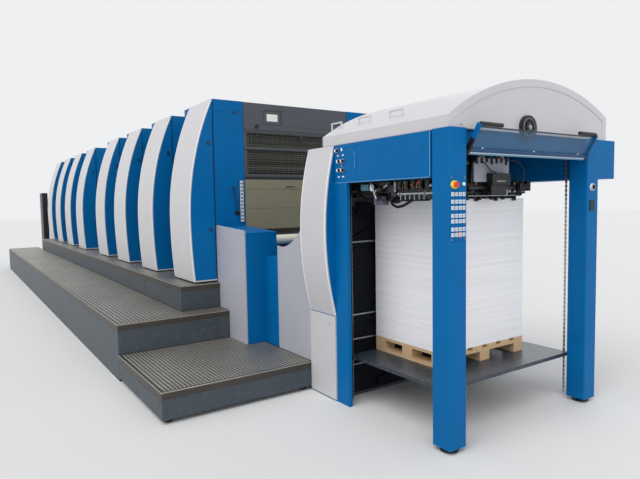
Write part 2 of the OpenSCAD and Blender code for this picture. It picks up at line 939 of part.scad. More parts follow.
module side_housings() {
    color(blue)
        placed()
            both_sides()
                for (i = [0:unit_count - 1]) {
                    x = unit_x(i);
                    box(x - tower_l, x, -half_tower, -half_core, base_h, tower_top);
                    for (z = cover_hinges)
                        hinge_pin(x - cover_l, z);
                }
}

cover_hinges = [cover_z + 200, tower_top - 420];
hinge_off = 14;
hinge_r = 11;
hinge_l = 60;
pin_over = 30;
bracket_h = 18;

module hinge_pin(x, z) {
    translate([x - hinge_off, -half_tower - hinge_off, z]) {
        translate([0, 0, -pin_over])
            cylinder(h = hinge_l + 2 * pin_over, d = hinge_pin_d, $fn = fine);
        for (h = [-pin_over, hinge_l + pin_over - bracket_h])
            translate([-8, 0, h])
                cube([16, hinge_off + 1, bracket_h]);
    }
}

module press_towers() {
    color(dark_grey)
        placed() {
            for (i = [0:unit_count - 1]) {
                x = unit_x(i);
                difference() {
                    box(x - tower_l, x - guard_t, -half_core, half_core, base_h, tower_top - 2);
                    if (i == 0)
                        box(x - 300, x, -half_core + 60, half_core - 60,
                            mesh_z + 20, mesh_z + mesh_h - 20);
                }
            }
        }
}

mesh_z = tower_top - top_guard_h - mesh_h;
low_guard_z = mesh_z - 25 - low_guard_h;

module top_guards() {
    display_y = -407;
    display_w = 210;
    display_z = tower_top - 210;
    color(dark_grey)
        placed()
            for (i = [0:unit_count - 1]) {
                x = unit_x(i);
                difference() {
                    box(x - guard_t, x, -half_core + 3, half_core - 3,
                        tower_top - top_guard_h + 3, tower_top - 2);
                    box(x - 8, x + 1, display_y, display_y + display_w, display_z,
                        display_z + display_w * 0.7);
                }
            }
}

module end_mesh() {
    x = unit_x(0);
    w = core_w - 6;
    nx = floor((w - 60) / mesh_pitch);
    nz = floor((mesh_h - 60) / mesh_pitch);
    color(dark_grey)
        placed() {
            difference() {
                box(x - guard_t, x - 3, -w / 2, w / 2, mesh_z, mesh_z + mesh_h);
                box(x - guard_t - 1, x, -w / 2 + 30, w / 2 - 30, mesh_z + 30, mesh_z + mesh_h - 30);
            }
            for (k = [1:nx - 1])
                box(x - 14, x - 14 + mesh_bar, -w / 2 + 30 + k * (w - 60) / nx - mesh_bar / 2,
                    -w / 2 + 30 + k * (w - 60) / nx + mesh_bar / 2, mesh_z + 29, mesh_z + mesh_h - 29);
            for (k = [1:nz - 1])
                box(x - 14, x - 14 + mesh_bar, -w / 2 + 29, w / 2 - 29,
                    mesh_z + 30 + k * (mesh_h - 60) / nz - mesh_bar / 2,
                    mesh_z + 30 + k * (mesh_h - 60) / nz + mesh_bar / 2);
        }
}

module end_rollers() {
    x = unit_x(0);
    color(steel)
        placed() {
            for (k = [0:2])
                rod_y(x - 220 + k * 60, -half_core + 60, core_w - 120,
                    mesh_z + 100 + k * 110, roller_d - k * 25);
        }
}

module lower_guards() {
    color(olive)
        placed()
            for (i = [0:unit_count - 1]) {
                x = unit_x(i);
                if (i > 0)
                    box(x - guard_t, x - 3, -half_core + 3, half_core - 3, mesh_z, mesh_z + mesh_h);
                box(x - guard_t, x, -half_core + 3, half_core - 3,
                    low_guard_z, low_guard_z + low_guard_h);
            }
}

// On each end face a key strip, a lever and a small latch; a dark pillar stands at the gallery's end
module unit_controls() {
    strip_z = 1290;
    lever_y = -half_core - 91;
    lever_z = 1381;
    lever_l = 245;
    pillar_x = line_rear - 440;
    pillar_y = -plinth_w / 2 + 216;
    color(black)
        placed() {
            for (i = [0:unit_count - 1]) {
                x = unit_x(i);
                box(x, x + 12, -half_core - 60, -half_core - 20, strip_z, strip_z + 410);
                translate([x, lever_y, lever_z]) {
                    rotate([0, 90, 0])
                        cylinder(h = 30, d = 24, $fn = fine);
                    translate([22, 0, 0])
                        rotate([8.2, 0, 0])
                            cylinder(h = lever_l, d = 12, $fn = fine);
                }
                rod_x(x, 8, -half_core - 90, tower_top - 110, 30);
                rod_x(x, 8, -half_core + 140, tower_top - top_guard_h + 30, 30);
            }
            box(pillar_x - 400, pillar_x, pillar_y - 120, pillar_y, 0, 1800);
            box(pillar_x - 400, pillar_x, -plinth_w / 2 + skin_gap, pillar_y, 0, 20);
        }
}

// Height at which a cover inset by t has thinned to m at its top
function cover_top(t, m) = min(tower_top - t, cover_belly_z + sqrt(pow(cover_r_up - t, 2)
    - pow(cover_r_up - cover_bulge + cover_gap + m, 2)));

// Outline of a unit cover, outward from the tower, inset by t and opened to the tower by b
module cover_outline(t, b = 0) {
    n = 24;
    z0 = cover_z + t;
    z1 = t > 0 ? cover_top(t, 4) : tower_top;
    polygon(concat(
        [[-half_tower - cover_gap + b, z1], [-half_tower - cover_gap + b, z0]],
        [for (k = [0:n])
            let (z = z0 + (z1 - z0) * k / n)
            [-half_tower - bulge(z, cover_belly_z, cover_bulge - t,
                (z > cover_belly_z ? cover_r_up : cover_r_low) - t), z]]));
}

module cover_skin(i) {
    x = unit_x(i);
    color(white)
        placed()
            difference() {
                along_x(x - cover_l, cover_l)
                    cover_outline(0);
                along_x(x - cover_l - 1, cover_l + 2)
                    cover_outline(skin_t, 1);
            }
}

module cover_cheek(i) {
    x = unit_x(i);
    l = cover_l - 4;
    color(blue)
        placed() {
            difference() {
                along_x(x - cover_l + 2, l)
                    cover_outline(skin_t + skin_gap);
                box(x - cover_l + 2 + cheek_t, x - 2 - cheek_t, -half_tower - 2 * cover_bulge,
                    -half_tower, cover_z + skin_t + cheek_t, cover_top(skin_t, 4) - 3 * cheek_t);
            }
            for (z = [latch_z, latch_top_z])
                rod_x(x - 3, 10, -half_tower - 58, z, latch_d);
            for (z = cover_hinges)
                translate([x - cover_l - hinge_off, -half_tower - hinge_off, z])
                    difference() {
                        union() {
                            cylinder(h = hinge_l, r = hinge_r, $fn = fine);
                            translate([0, -hinge_r, 0])
                                cube([hinge_off + 4, 8, hinge_l]);
                        }
                        translate([0, 0, -1])
                            cylinder(h = hinge_l + 2, d = hinge_pin_d + 0.2, $fn = fine);
                    }
        }
}

module drive_covers() {
    color(white)
        placed()
            for (i = [0:unit_count - 1])
                mirror([0, 1, 0])
                    translate([0, cover_gap, 0])
                        along_x(unit_x(i) - cover_l, cover_l)
                            cover_outline(0);
}

// Side wall of the feeder, with the opening that its pile goes in by
module feeder_side() {
    cut = 60;
    x0 = feeder_rear;
    x1 = feeder_rear + feeder_bay_l;
    x2 = line_rear - cut;
    sill = feeder_beam_h;
    difference() {
        polygon([[x0, 0], [x0, feeder_h - cut], [x0 + cut, feeder_h], [x1 - cut, feeder_h],
            [x1, feeder_h - cut], [x1, feed_z + 2 * cut], [x2, feed_low_z + cut], [x2, 0]]);
        translate([x0 + post_w, -1])
            square([feeder_bay_l - 2 * post_w, feeder_h - feeder_beam_h + 1]);
        translate([x1 + cut, sill])
            square([x2 - x1 - 2 * cut, feed_low_z - 1.8 * sill]);
    }
}

module feeder_frame() {
    color(blue)
        placed() {
            both_sides()
                along_y(-half_w, side_frame_t)
                    feeder_side();
            for (x = [feeder_rear + 20, feeder_rear + feeder_bay_l - 80])
                box(x, x + 60, -half_w + side_frame_t - 1, half_w - side_frame_t + 1,
                    feeder_h - 180, feeder_h - 40);
            both_sides()
                box(feeder_rear, feeder_rear + post_w, -half_w + side_frame_t - 1,
                    -half_w + post_w, 0, feeder_h - 60);
        }
}

module feed_board() {
    x1 = feeder_rear + feeder_bay_l + 10;
    color(steel)
        placed() {
            along_y(-half_w + side_frame_t, frame_w - 2 * side_frame_t)
                polygon([[x1, feed_z - feed_t], [line_rear, feed_low_z - feed_t],
                    [line_rear, feed_low_z], [x1, feed_z]]);
            for (t = [0.06, 0.5, 0.94])
                rod_y(x1 + (line_rear - x1) * t, -half_w + side_frame_t,
                    frame_w - 2 * side_frame_t, feed_z + (feed_low_z - feed_z) * t + 12, 50);
        }
}

// The suction head hangs on two cross tubes over the feeder's pile
module feeder_head() {
    head_x = feeder_rear + 330;
    head_l = 420;
    head_z = feed_z + 180;
    color(dark_grey)
        placed() {
            along_y(-260, 520)
                polygon([[head_x, head_z], [head_x + head_l, head_z], [head_x + head_l, head_z + 120],
                    [head_x + head_l - 80, head_z + 210], [head_x + 60, head_z + 210],
                    [head_x, head_z + 150]]);
            for (x = [head_x + 90, head_x + head_l - 110])
                rod_y(x, -half_w + side_frame_t, frame_w - 2 * side_frame_t, head_z + 170, 50);
            for (y = [-200, -70, 70, 200], x = [head_x + 50, head_x + 200])
                translate([x, y, feed_z + 5]) {
                    cylinder(h = 30, d = 44, $fn = fine);
                    cylinder(h = head_z - feed_z, d = 22, $fn = fine);
                }
        }
}

module feeder_lift() {
    color(dark_grey)
        placed() {
            plate_with_eyes(feeder_plate_x, feeder_plate_z, plate_l, plate_w);
            hoist_shaft(feeder_chain_x[0], 1, feeder_chain_top, side_frame_t);
            hoist_shaft(feeder_chain_x[1], -1, feeder_chain_top, side_frame_t);
        }
}

module feeder_pile() {
    color(paper)
        placed()
            translate([feeder_pile_x, -sheet_w / 2, feeder_plate_z + pallet_h])
                cube([sheet_l, sheet_w, feed_z - feeder_plate_z - pallet_h]);
}

module feeder_pallet() {
    color(wood)
        placed()
            translate([feeder_pile_x, -sheet_w / 2, feeder_plate_z])
                boarded_pallet(sheet_l, sheet_w, pallet_h);
}

delivery_posts();
machine_feet();
side_frames();
top_beams();
control_knobs();
hood_shell();
hood_front();
hood_handles();
delivery_covers();
delivery_body();
rear_guard();
visor_frame();
visor_pane();
visor_grips();
post_keys();
lift_plate();
pallet();
paper_pile();
hoist_chains();
hoist_shafts();
sheet_brake();
stop_unit();
drag_hose();
neck_panels();
neck_housing();
walkway_frames();
platform();
treads();
nosings();
base_frame();
side_housings();
press_towers();
top_guards();
end_mesh();
end_rollers();
lower_guards();
unit_controls();
for (i = [0:unit_count - 1]) {
    cover_skin(i);
    cover_cheek(i);
}
drive_covers();
feeder_frame();
feed_board();
feeder_head();
feeder_lift();
feeder_pile();
feeder_pallet();
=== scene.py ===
"""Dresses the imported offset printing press. Lengths in the helpers' calls are millimetres in the
press's own frame: x = 0 at the delivery posts' front face, -y the operator side, z up."""
import json
import math
import random

import bmesh
import bpy
from mathutils import Matrix, Vector


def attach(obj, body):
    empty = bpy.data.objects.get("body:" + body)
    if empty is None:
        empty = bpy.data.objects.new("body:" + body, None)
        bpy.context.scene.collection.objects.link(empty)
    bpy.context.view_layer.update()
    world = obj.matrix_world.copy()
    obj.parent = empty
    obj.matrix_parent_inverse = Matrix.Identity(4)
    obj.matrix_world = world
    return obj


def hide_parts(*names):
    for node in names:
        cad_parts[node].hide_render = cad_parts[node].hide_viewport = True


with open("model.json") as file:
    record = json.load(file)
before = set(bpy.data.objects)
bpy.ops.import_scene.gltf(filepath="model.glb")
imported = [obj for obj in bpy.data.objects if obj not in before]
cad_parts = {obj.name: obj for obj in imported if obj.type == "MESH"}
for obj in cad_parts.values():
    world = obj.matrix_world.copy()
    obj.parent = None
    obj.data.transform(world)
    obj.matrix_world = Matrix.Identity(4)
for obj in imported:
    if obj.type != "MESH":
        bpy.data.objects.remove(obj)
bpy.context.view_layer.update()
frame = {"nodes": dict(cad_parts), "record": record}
RNG = random.Random(7)
# Metres along x from the frame's origin to the press's own
SHIFT = 7.214278

# Sizes shared with the solids
HALF_W = 757.5
HALF_TOWER = 947.5
HALF_CORE = 633.0
COLUMN_REAR = 1100.0
DELIVERY_REAR = 1430.0
BEAM_TOP = 1875.0
PILE_X, PILE_L, PILE_W, PILE_MID = -385.0, 680.0, 850.0, 15.0
PILE_Z, PILE_TOP = 453.0, 1480.0
COVER_L, COVER_Z, TOWER_TOP, TOWER_L = 550.0, 735.0, 2470.0, 750.0
BELLY_Z, BULGE, R_UP, R_LOW = 1330.0, 264.0, 2720.0, 6000.0
LINE_REAR = -12060.0
GALLERY_W, GALLERY_H, PLINTH_W, PLINTH_H, PLATFORM_H = 3925.0, 483.0, 2667.0, 719.0, 226.0
UNIT_COUNT, UNIT_START, UNIT_PITCH = 8, -2800.0, 1150.0
WIDE_GAP, WIDE_AFTER = 460.0, 4
UNITS = [UNIT_START - i * UNIT_PITCH - (WIDE_GAP if i >= WIDE_AFTER else 0.0)
         for i in range(UNIT_COUNT)]
SIDE_BULGE, SIDE_R, SIDE_BELLY_Z = 90, 2230, 1250


# Colours and materials
def lin(code, a=1.0):
    """A linear colour from a web colour."""
    out = []
    for k in (0, 2, 4):
        c = int(code[k:k + 2], 16) / 255
        out.append(c / 12.92 if c <= 0.04045 else ((c + 0.055) / 1.055) ** 2.4)
    return (*out, a)


def node(tree, kind, **values):
    """A new node. A value is one of its settings, or else the input of that name."""
    made = tree.nodes.new(kind)
    for key, value in values.items():
        if hasattr(made, key):
            setattr(made, key, value)
        else:
            made.inputs[key.replace("_", " ").title()].default_value = value
    return made


def new_surface(name, stretch=(1, 1, 1)):
    """A material with its nodes, its shader and the object's own places, stretched."""
    made = bpy.data.materials.new(name)
    made.use_nodes = True
    tree = made.node_tree
    places = node(tree, "ShaderNodeMapping", Scale=stretch)
    tree.links.new(node(tree, "ShaderNodeTexCoord").outputs["Object"], places.inputs["Vector"])
    return made, tree, tree.nodes["Principled BSDF"], places


def noise(tree, places, scale, detail, roughness):
    made = node(tree, "ShaderNodeTexNoise", Scale=scale, Detail=detail, Roughness=roughness)
    tree.links.new(places.outputs[0], made.inputs["Vector"])
    return made.outputs["Fac"]


def carried(tree, value, low, high, start=0.0, stop=1.0):
    """A value between start and stop, carried over to low and high."""
    made = node(tree, "ShaderNodeMapRange", From_Min=start, From_Max=stop, To_Min=low, To_Max=high)
    tree.links.new(value, made.inputs["Value"])
    return made.outputs[0]


def shaded(tree, code, factor):
    """A colour made lighter or darker by a factor."""
    made = node(tree, "ShaderNodeVectorMath", operation="MULTIPLY")
    made.inputs[0].default_value = lin(code)[:3]
    tree.links.new(factor, made.inputs[1])
    return made.outputs[0]


def blend(tree, factor):
    """A mix of two colours, whose inputs are COLOUR_A and COLOUR_B."""
    made = node(tree, "ShaderNodeMix", data_type="RGBA")
    tree.links.new(factor, made.inputs["Factor"])
    return made


def relief(tree, shader, height, strength, distance):
    made = node(tree, "ShaderNodeBump", Strength=strength, Distance=distance)
    tree.links.new(height, made.inputs["Height"])
    tree.links.new(made.outputs[0], shader.inputs["Normal"])


# Places of the colours among the mix node's inputs and outputs
COLOUR_A, COLOUR_B, COLOUR_OUT = 6, 7, 2
GLOSS_VARY = 0.08


def material(name, code, rough=0.5, metal=0.0, vary=0.06, scale=3.0, bump=0.0, bump_scale=60.0,
             dirt=None, dirt_amount=0.0, alpha=1.0):
    """A painted, metal or plastic surface with mottled colour, uneven gloss and a fine texture."""
    made, tree, shader, places = new_surface(name)
    shader.inputs["Metallic"].default_value = metal
    shader.inputs["Alpha"].default_value = alpha
    broad = noise(tree, places, scale, 5.0, 0.6)
    colour = shaded(tree, code, carried(tree, broad, 1.0 - vary, 1.0 + vary, 0.3, 0.7))
    if dirt:
        worn = noise(tree, places, scale * 7.0, 8.0, 0.75)
        mix = blend(tree, carried(tree, worn, 0.0, dirt_amount, 0.52, 0.74))
        tree.links.new(colour, mix.inputs[COLOUR_A])
        mix.inputs[COLOUR_B].default_value = lin(dirt)
        colour = mix.outputs[COLOUR_OUT]
    tree.links.new(colour, shader.inputs["Base Color"])
    fine = noise(tree, places, bump_scale, 4.0, 0.55)
    gloss = carried(tree, fine, max(rough - GLOSS_VARY, 0.02), min(rough + GLOSS_VARY, 1.0))
    tree.links.new(gloss, shader.inputs["Roughness"])
    if bump:
        relief(tree, shader, fine, 0.35, bump)
    return made


def wood_material(name, code, dark):
    """Sawn pine with darker, wavy grain."""
    made, tree, shader, places = new_surface(name, (3.0, 3.0, 14.0))
    warp = noise(tree, places, 4.0, 6.0, 0.6)
    wave = node(tree, "ShaderNodeTexWave", bands_direction="Z", Scale=2.2, Distortion=9.0,
                Detail=4.0)
    tree.links.new(places.outputs[0], wave.inputs["Vector"])
    grain = node(tree, "ShaderNodeMath", operation="MULTIPLY")
    tree.links.new(wave.outputs["Fac"], grain.inputs[0])
    tree.links.new(warp, grain.inputs[1])
    mix = blend(tree, grain.outputs[0])
    mix.inputs[COLOUR_A].default_value = lin(code)
    mix.inputs[COLOUR_B].default_value = lin(dark)
    tree.links.new(mix.outputs[COLOUR_OUT], shader.inputs["Base Color"])
    shader.inputs["Roughness"].default_value = 0.75
    relief(tree, shader, wave.outputs["Fac"], 0.3, 0.001)
    return made


def paper_material(name, code):
    """Cut edges of thousands of sheets: fine level lines in bands of slightly different white."""
    made, tree, shader, places = new_surface(name, (0.4, 0.4, 42.0))
    band = noise(tree, places, 1.6, 8.0, 0.8)
    colour = shaded(tree, code, carried(tree, band, 0.86, 1.04, 0.3, 0.7))
    tree.links.new(colour, shader.inputs["Base Color"])
    shader.inputs["Roughness"].default_value = 0.8
    relief(tree, shader, band, 0.5, 0.0015)
    return made


BLUE = material("blue_paint", "00629f", 0.42, vary=0.07, scale=1.1, bump=0.0006, bump_scale=160,
                dirt="124468", dirt_amount=0.22)
WHITE = material("white_paint", "c3c2c5", 0.42, vary=0.025, scale=0.9, bump=0.0005, bump_scale=150,
                 dirt="a3a19c", dirt_amount=0.10)
PALE = material("pale_grey_paint", "a9aab3", 0.45, vary=0.03, scale=1.4, bump=0.0004,
                bump_scale=180, dirt="8b8c92", dirt_amount=0.12)
SKIRT = material("walkway_paint", "384149", 0.5, vary=0.12, scale=2.2, bump=0.0008, bump_scale=120,
                 dirt="6d7780", dirt_amount=0.3)
DARK = material("dark_grey_paint", "3b4047", 0.5, vary=0.07, scale=1.8, bump=0.0005, bump_scale=120,
                dirt="23262a", dirt_amount=0.25)
GUARD = material("guard_paint", "43474f", 0.5, vary=0.05, scale=1.6, bump=0.0005, bump_scale=140,
                 dirt="2e3136", dirt_amount=0.2)
OLIVE = material("olive_paint", "827c65", 0.5, vary=0.05, scale=1.6, bump=0.0005, bump_scale=140,
                 dirt="4c4d42", dirt_amount=0.2)
BLACK = material("black_paint", "17181b", 0.45, vary=0.2, scale=8.0, bump=0.0006, bump_scale=150,
                 dirt="2e3036", dirt_amount=0.3)
PLASTIC = material("black_plastic", "141416", 0.4, vary=0.1, scale=9.0, bump=0.0003,
                   bump_scale=300)
RUBBER = material("black_rubber", "121213", 0.7, vary=0.15, scale=20.0, bump=0.0004,
                  bump_scale=260)
TREAD = material("tread_steel", "45433e", 0.42, metal=0.55, vary=0.14, scale=3.0, bump=0.0008,
                 bump_scale=90, dirt="3d3931", dirt_amount=0.4)
# The studs' pale colour is partly bare worn steel and partly a painted highlight on their tops.
STUD = material("tread_studs_wear_and_highlight", "c2c0b8", 0.38, metal=0.6, vary=0.16, scale=2.4, bump=0.0004,
                bump_scale=120, dirt="5a5449", dirt_amount=0.5)
# A whiter white than the covers' paint, for strips along the cover edges: a painted highlight where
# those edges catch the light.
RIM_HIGHLIGHT = material("rim_painted_highlight", "f2f2f0", 0.3, vary=0.02, scale=3.0, bump=0.0001)
STEEL = material("bright_steel", "a9acb0", 0.3, metal=0.9, vary=0.06, scale=6.0, bump=0.0003,
                 bump_scale=220)
NOSING = material("nosing_steel", "aba79c", 0.35, metal=0.7, vary=0.12, scale=5.0, bump=0.0003,
                  bump_scale=200, dirt="4c473d", dirt_amount=0.3)
DEEP = material("deep_black_paint", "0f1118", 0.55, vary=0.2, scale=8.0, bump=0.0005,
                bump_scale=150)
TEAL = material("teal_grey_paint", "5f8698", 0.45, vary=0.05, scale=6.0, bump=0.0003)
VIOLET = material("violet_grey_paint", "565468", 0.45, vary=0.08, scale=8.0, bump=0.0003)
WIRE = material("mesh_wire", "62645a", 0.4, metal=0.3, vary=0.12, scale=9.0, bump=0.0002)
RAIL_BLUE = material("rail_blue", "5f8fb5", 0.35, metal=0.3, vary=0.05, scale=5.0, bump=0.0002)
RAIL_DEEP = material("rail_deep_blue", "0d4470", 0.4, vary=0.06, scale=5.0, bump=0.0002)
BAND = material("band_brown", "3f3a33", 0.45, metal=0.3, vary=0.12, scale=3.0, bump=0.0004,
                bump_scale=140, dirt="2a2723", dirt_amount=0.35)
PLATE = material("lift_plate_paint", "353d46", 0.36, metal=0.2, vary=0.08, scale=4.0,
                 bump=0.0003, bump_scale=160, dirt="8a949d", dirt_amount=0.45)
EDGE_BLUE = material("edge_blue", "4f93c6", 0.4, vary=0.04, scale=3.0, bump=0.0002)
ALLOY = material("rail_alloy", "c9d3da", 0.22, metal=0.85, vary=0.05, scale=6.0, bump=0.0002,
                 bump_scale=200)
WORN = material("worn_steel", "4d4c4a", 0.45, metal=0.7, vary=0.15, scale=6.0, bump=0.0003,
                bump_scale=160, dirt="2b2622", dirt_amount=0.4)
CREAM = material("cream_roller", "d8d4c2", 0.5, vary=0.03, scale=4.0, bump=0.0003)
RED = material("red_plastic", "d8301c", 0.35, vary=0.05, scale=12.0, bump=0.0002, bump_scale=300)
GREEN = material("green_plastic", "3f8f4a", 0.4, vary=0.05, scale=12.0, bump=0.0002,
                 bump_scale=300)
YELLOW = material("yellow_plastic", "e6cf3a", 0.4, vary=0.05, scale=12.0, bump=0.0002,
                  bump_scale=300)
LAMP = material("lamp_white", "f2f4f6", 0.25, vary=0.02, scale=12.0, bump=0.0001)
KEY = material("key_white", "cfd9e2", 0.4, vary=0.05, scale=20.0, bump=0.0002, bump_scale=300)
SCREEN = material("screen_white", "dfe6de", 0.2, vary=0.05, scale=14.0, bump=0.0001)
BRASS = material("brass_fitting", "a8843c", 0.35, metal=0.9, vary=0.1, scale=12.0, bump=0.0002)
PINE = wood_material("pine_wood", "d2b48f", "a9845a")
PAPER = paper_material("paper_edges", "f0f0f3")
PANE = material("clear_pane", "587b98", 0.15, vary=0.03, scale=4.0, bump=0.0001, alpha=0.3)

SLOT = {"blue_paint": BLUE, "white_paint": WHITE, "pale_grey_paint": PALE,
        "dark_grey_paint": DARK, "black_paint": BLACK, "olive_paint": OLIVE,
        "tread_steel": TREAD, "bright_steel": STEEL, "black_plastic": PLASTIC,
        "black_rubber": RUBBER, "clear_pane": PANE, "pine": PINE, "paper": PAPER}
LIKE = {"dark_grey_paint": (SKIRT, GUARD, WIRE, VIOLET, PLATE),
        "bright_steel": (NOSING, BRASS, RAIL_BLUE, WORN, ALLOY),
        "pale_grey_paint": (CREAM, LAMP, KEY, SCREEN, TEAL),
        "black_plastic": (RED, GREEN, YELLOW), "blue_paint": (RAIL_DEEP, EDGE_BLUE),
        "tread_steel": (BAND, STUD), "white_paint": (RIM_HIGHLIGHT,), "black_paint": (DEEP,)}
MAT_SLOT = {mat.name: slot for slot, mat in SLOT.items()}
MAT_SLOT.update({mat.name: slot for slot, group in LIKE.items() for mat in group})
NODE_MAT = {"walkway_frames": SKIRT, "platform": SKIRT, "nosings": NOSING, "top_guards": GUARD,
            "press_towers": GUARD, "end_mesh": WIRE, "end_rollers": WORN, "lift_plate": PLATE}

# These two paints hardly mirror the lights in the photo
for mat in (BLUE, DEEP):
    mat.node_tree.nodes["Principled BSDF"].inputs["Specular IOR Level"].default_value = 0.1

for subpart in frame["record"]["subparts"]:
    solid = frame["nodes"][subpart["node"]]
    solid.data.materials.clear()
    solid.data.materials.append(NODE_MAT.get(subpart["node"], SLOT[subpart["material_slot"]]))


# Shapes
def span(side, a, b):
    """The y values from a to b out on one side, -1 for the operator's and 1 for the drive's."""
    return sorted((side * a, side * b))


def at(x, y, z):
    """A place in the frame, from millimetres in the press."""
    return Vector((x / 1000 + SHIFT, y / 1000, z / 1000))


# Faces that meet at more degrees than this keep a sharp edge
SHARP_ANGLE = 35


class Shape:
    """Collects plates, rods and strips into one mesh.

    Normals aren't updated before a bevel, so some rims flare outward by about its width, and a
    few of them only in some runs.
    """

    def __init__(self):
        self.bm = bmesh.new()

    def _bevel(self, verts, r):
        if r <= 0:
            return
        edges = {e for v in verts for e in v.link_edges}
        bmesh.ops.bevel(self.bm, geom=list(edges), offset=r / 1000, segments=2, profile=0.6,
                        affect="EDGES", clamp_overlap=True)

    def box(self, x0, x1, y0, y1, z0, z1, r=0.0, turn=None, about=None):
        """A block with edges rounded by r, turned about a place where turn is given."""
        made = bmesh.ops.create_cube(self.bm, size=1.0)["verts"]
        lo, hi = at(x0, y0, z0), at(x1, y1, z1)
        for v in made:
            v.co = Vector([(lo[k] + hi[k]) / 2 + v.co[k] * (hi[k] - lo[k]) for k in range(3)])
        if turn is not None:
            c = at(*about)
            for v in made:
                v.co = c + turn @ (v.co - c)
        self._bevel(made, r)
        return self

    def rod(self, p0, p1, d, seg=24, r=0.0):
        """A round bar from p0 to p1, with the edges of its ends bevelled by r."""
        a, b = at(*p0), at(*p1)
        made = bmesh.ops.create_cone(self.bm, cap_ends=True, segments=seg, radius1=d / 2000,
                                     radius2=d / 2000, depth=(b - a).length)["verts"]
        q = Vector((0, 0, 1)).rotation_difference(b - a).to_matrix()
        for v in made:
            v.co = (a + b) / 2 + q @ v.co
        if r > 0:
            ends = [e for e in {e for v in made for e in v.link_edges}
                    if any(len(f.verts) > 4 for f in e.link_faces)]
            bmesh.ops.bevel(self.bm, geom=ends, offset=r / 1000, segments=2, profile=0.6,
                            affect="EDGES")
        return self

    def ring(self, centre, axis, d_out, d_in, w, seg=32):
        """A flat ring or tube about axis, w long."""
        q = Vector((0, 0, 1)).rotation_difference(Vector(axis)).to_matrix()
        c = at(*centre)
        loops = []
        for dd, z in ((d_out, -w / 2), (d_out, w / 2), (d_in, w / 2), (d_in, -w / 2)):
            loops.append([self.bm.verts.new(c + q @ Vector((
                dd / 2000 * math.cos(2 * math.pi * k / seg),
                dd / 2000 * math.sin(2 * math.pi * k / seg), z / 1000))) for k in range(seg)])
        for a, b in zip(loops, loops[1:] + loops[:1]):
            for k in range(seg):
                self.bm.faces.new((a[k], a[(k + 1) % seg], b[(k + 1) % seg], b[k]))
        return self

    def tube(self, points, d, seg=12):
        """A round tube through points given in millimetres."""
        pts = [at(*p) for p in points]
        loops = []
        side = None
        for k, p in enumerate(pts):
            t = (pts[min(k + 1, len(pts) - 1)] - pts[max(k - 1, 0)]).normalized()
            if side is None:
                side = t.orthogonal().normalized()
            side = (side - t * side.dot(t)).normalized()
            up = t.cross(side)
            loops.append([self.bm.verts.new(p + (side * math.cos(2 * math.pi * j / seg)
                                                 + up * math.sin(2 * math.pi * j / seg)) * d / 2000)
                          for j in range(seg)])
        for a, b in zip(loops, loops[1:]):
            for j in range(seg):
                self.bm.faces.new((a[j], a[(j + 1) % seg], b[(j + 1) % seg], b[j]))
        self.bm.faces.new(loops[0][::-1])
        self.bm.faces.new(loops[-1])
        return self

    def prism(self, outline, axis, lo, hi):
        """An outline of (u, v) pairs, carried from lo to hi along the axis."""
        def put(u, v, w):
            return at(*{"x": (w, u, v), "y": (u, w, v), "z": (u, v, w)}[axis])
        a = [self.bm.verts.new(put(u, v, lo)) for u, v in outline]
        b = [self.bm.verts.new(put(u, v, hi)) for u, v in outline]
        n = len(outline)
        for k in range(n):
            self.bm.faces.new((a[k], a[(k + 1) % n], b[(k + 1) % n], b[k]))
        self.bm.faces.new(a[::-1])
        self.bm.faces.new(b)
        return self

    def pads(self, x0, x1, y0, y1, z, pitch, size, high):
        """Low square studs of a tread plate, with flat tops."""
        nx, ny = int((x1 - x0) / pitch), int((y1 - y0) / pitch)
        h, t = size / 2000, size / 2900
        for i in range(nx):
            for j in range(ny):
                c = at(x0 + (i + 0.5) * (x1 - x0) / nx, y0 + (j + 0.5) * (y1 - y0) / ny, z)
                ring = ((1, 1), (-1, 1), (-1, -1), (1, -1))
                low = [self.bm.verts.new(c + Vector((a * h, b * h, 0))) for a, b in ring]
                top = [self.bm.verts.new(c + Vector((a * t, b * t, high / 1000))) for a, b in ring]
                for k in range(4):
                    self.bm.faces.new((low[k], low[(k + 1) % 4], top[(k + 1) % 4], top[k]))
                self.bm.faces.new(top)
        return self

    def done(self, name, mat, body="press", smooth=True, replaces=()):
        """Makes the piece, on its body and with its material slot."""
        bmesh.ops.recalc_face_normals(self.bm, faces=self.bm.faces)
        mesh = bpy.data.meshes.new(name)
        self.bm.to_mesh(mesh)
        self.bm.free()
        if smooth:
            mesh.shade_smooth()
            mesh.set_sharp_from_angle(angle=math.radians(SHARP_ANGLE))
        o = bpy.data.objects.new(name, mesh)
        bpy.context.scene.collection.objects.link(o)
        mesh.materials.append(mat)
        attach(o, body)
        if smooth:
            flat = o.modifiers.new("flat_faces", "WEIGHTED_NORMAL")
            flat.keep_sharp = True
        if replaces:
            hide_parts(*replaces)
        return o


def piece(mat, tag="", **how):
    """Draws the function below it at once, as a piece with the function's name and the tag."""
    def draw(build):
        s = Shape()
        build(s)
        return s.done(build.__name__ + tag, mat, **how)
    return draw


# Walkways
GALLERY_REAR, GALLERY_FRONT = LINE_REAR - 800.0, -2550.0
PLATFORM_REAR, PLATFORM_FRONT = -2549.7, -1430.3
PLINTH_FRONT = -2755.0
EDGE = GALLERY_W / 2 - 3
TOWER_SIDE, NECK_SIDE = 950, 773
FINE_STUDS = {"pitch": 28, "size": 16, "high": 1.2}
COARSE_STUDS = {"pitch": 34, "size": 17, "high": 1.2}
SEAM = 1.6
SIDES = ((-1, "_operator"), (1, "_drive"))


@piece(STUD, smooth=False)
def platform_studs(s):
    s.pads(PLATFORM_REAR + 16, PLATFORM_FRONT - 16, -EDGE + 16, -TOWER_SIDE, PLATFORM_H,
           **FINE_STUDS)
    s.pads(-2190, PLATFORM_FRONT - 16, -TOWER_SIDE + 2, -NECK_SIDE - 2, PLATFORM_H, **FINE_STUDS)


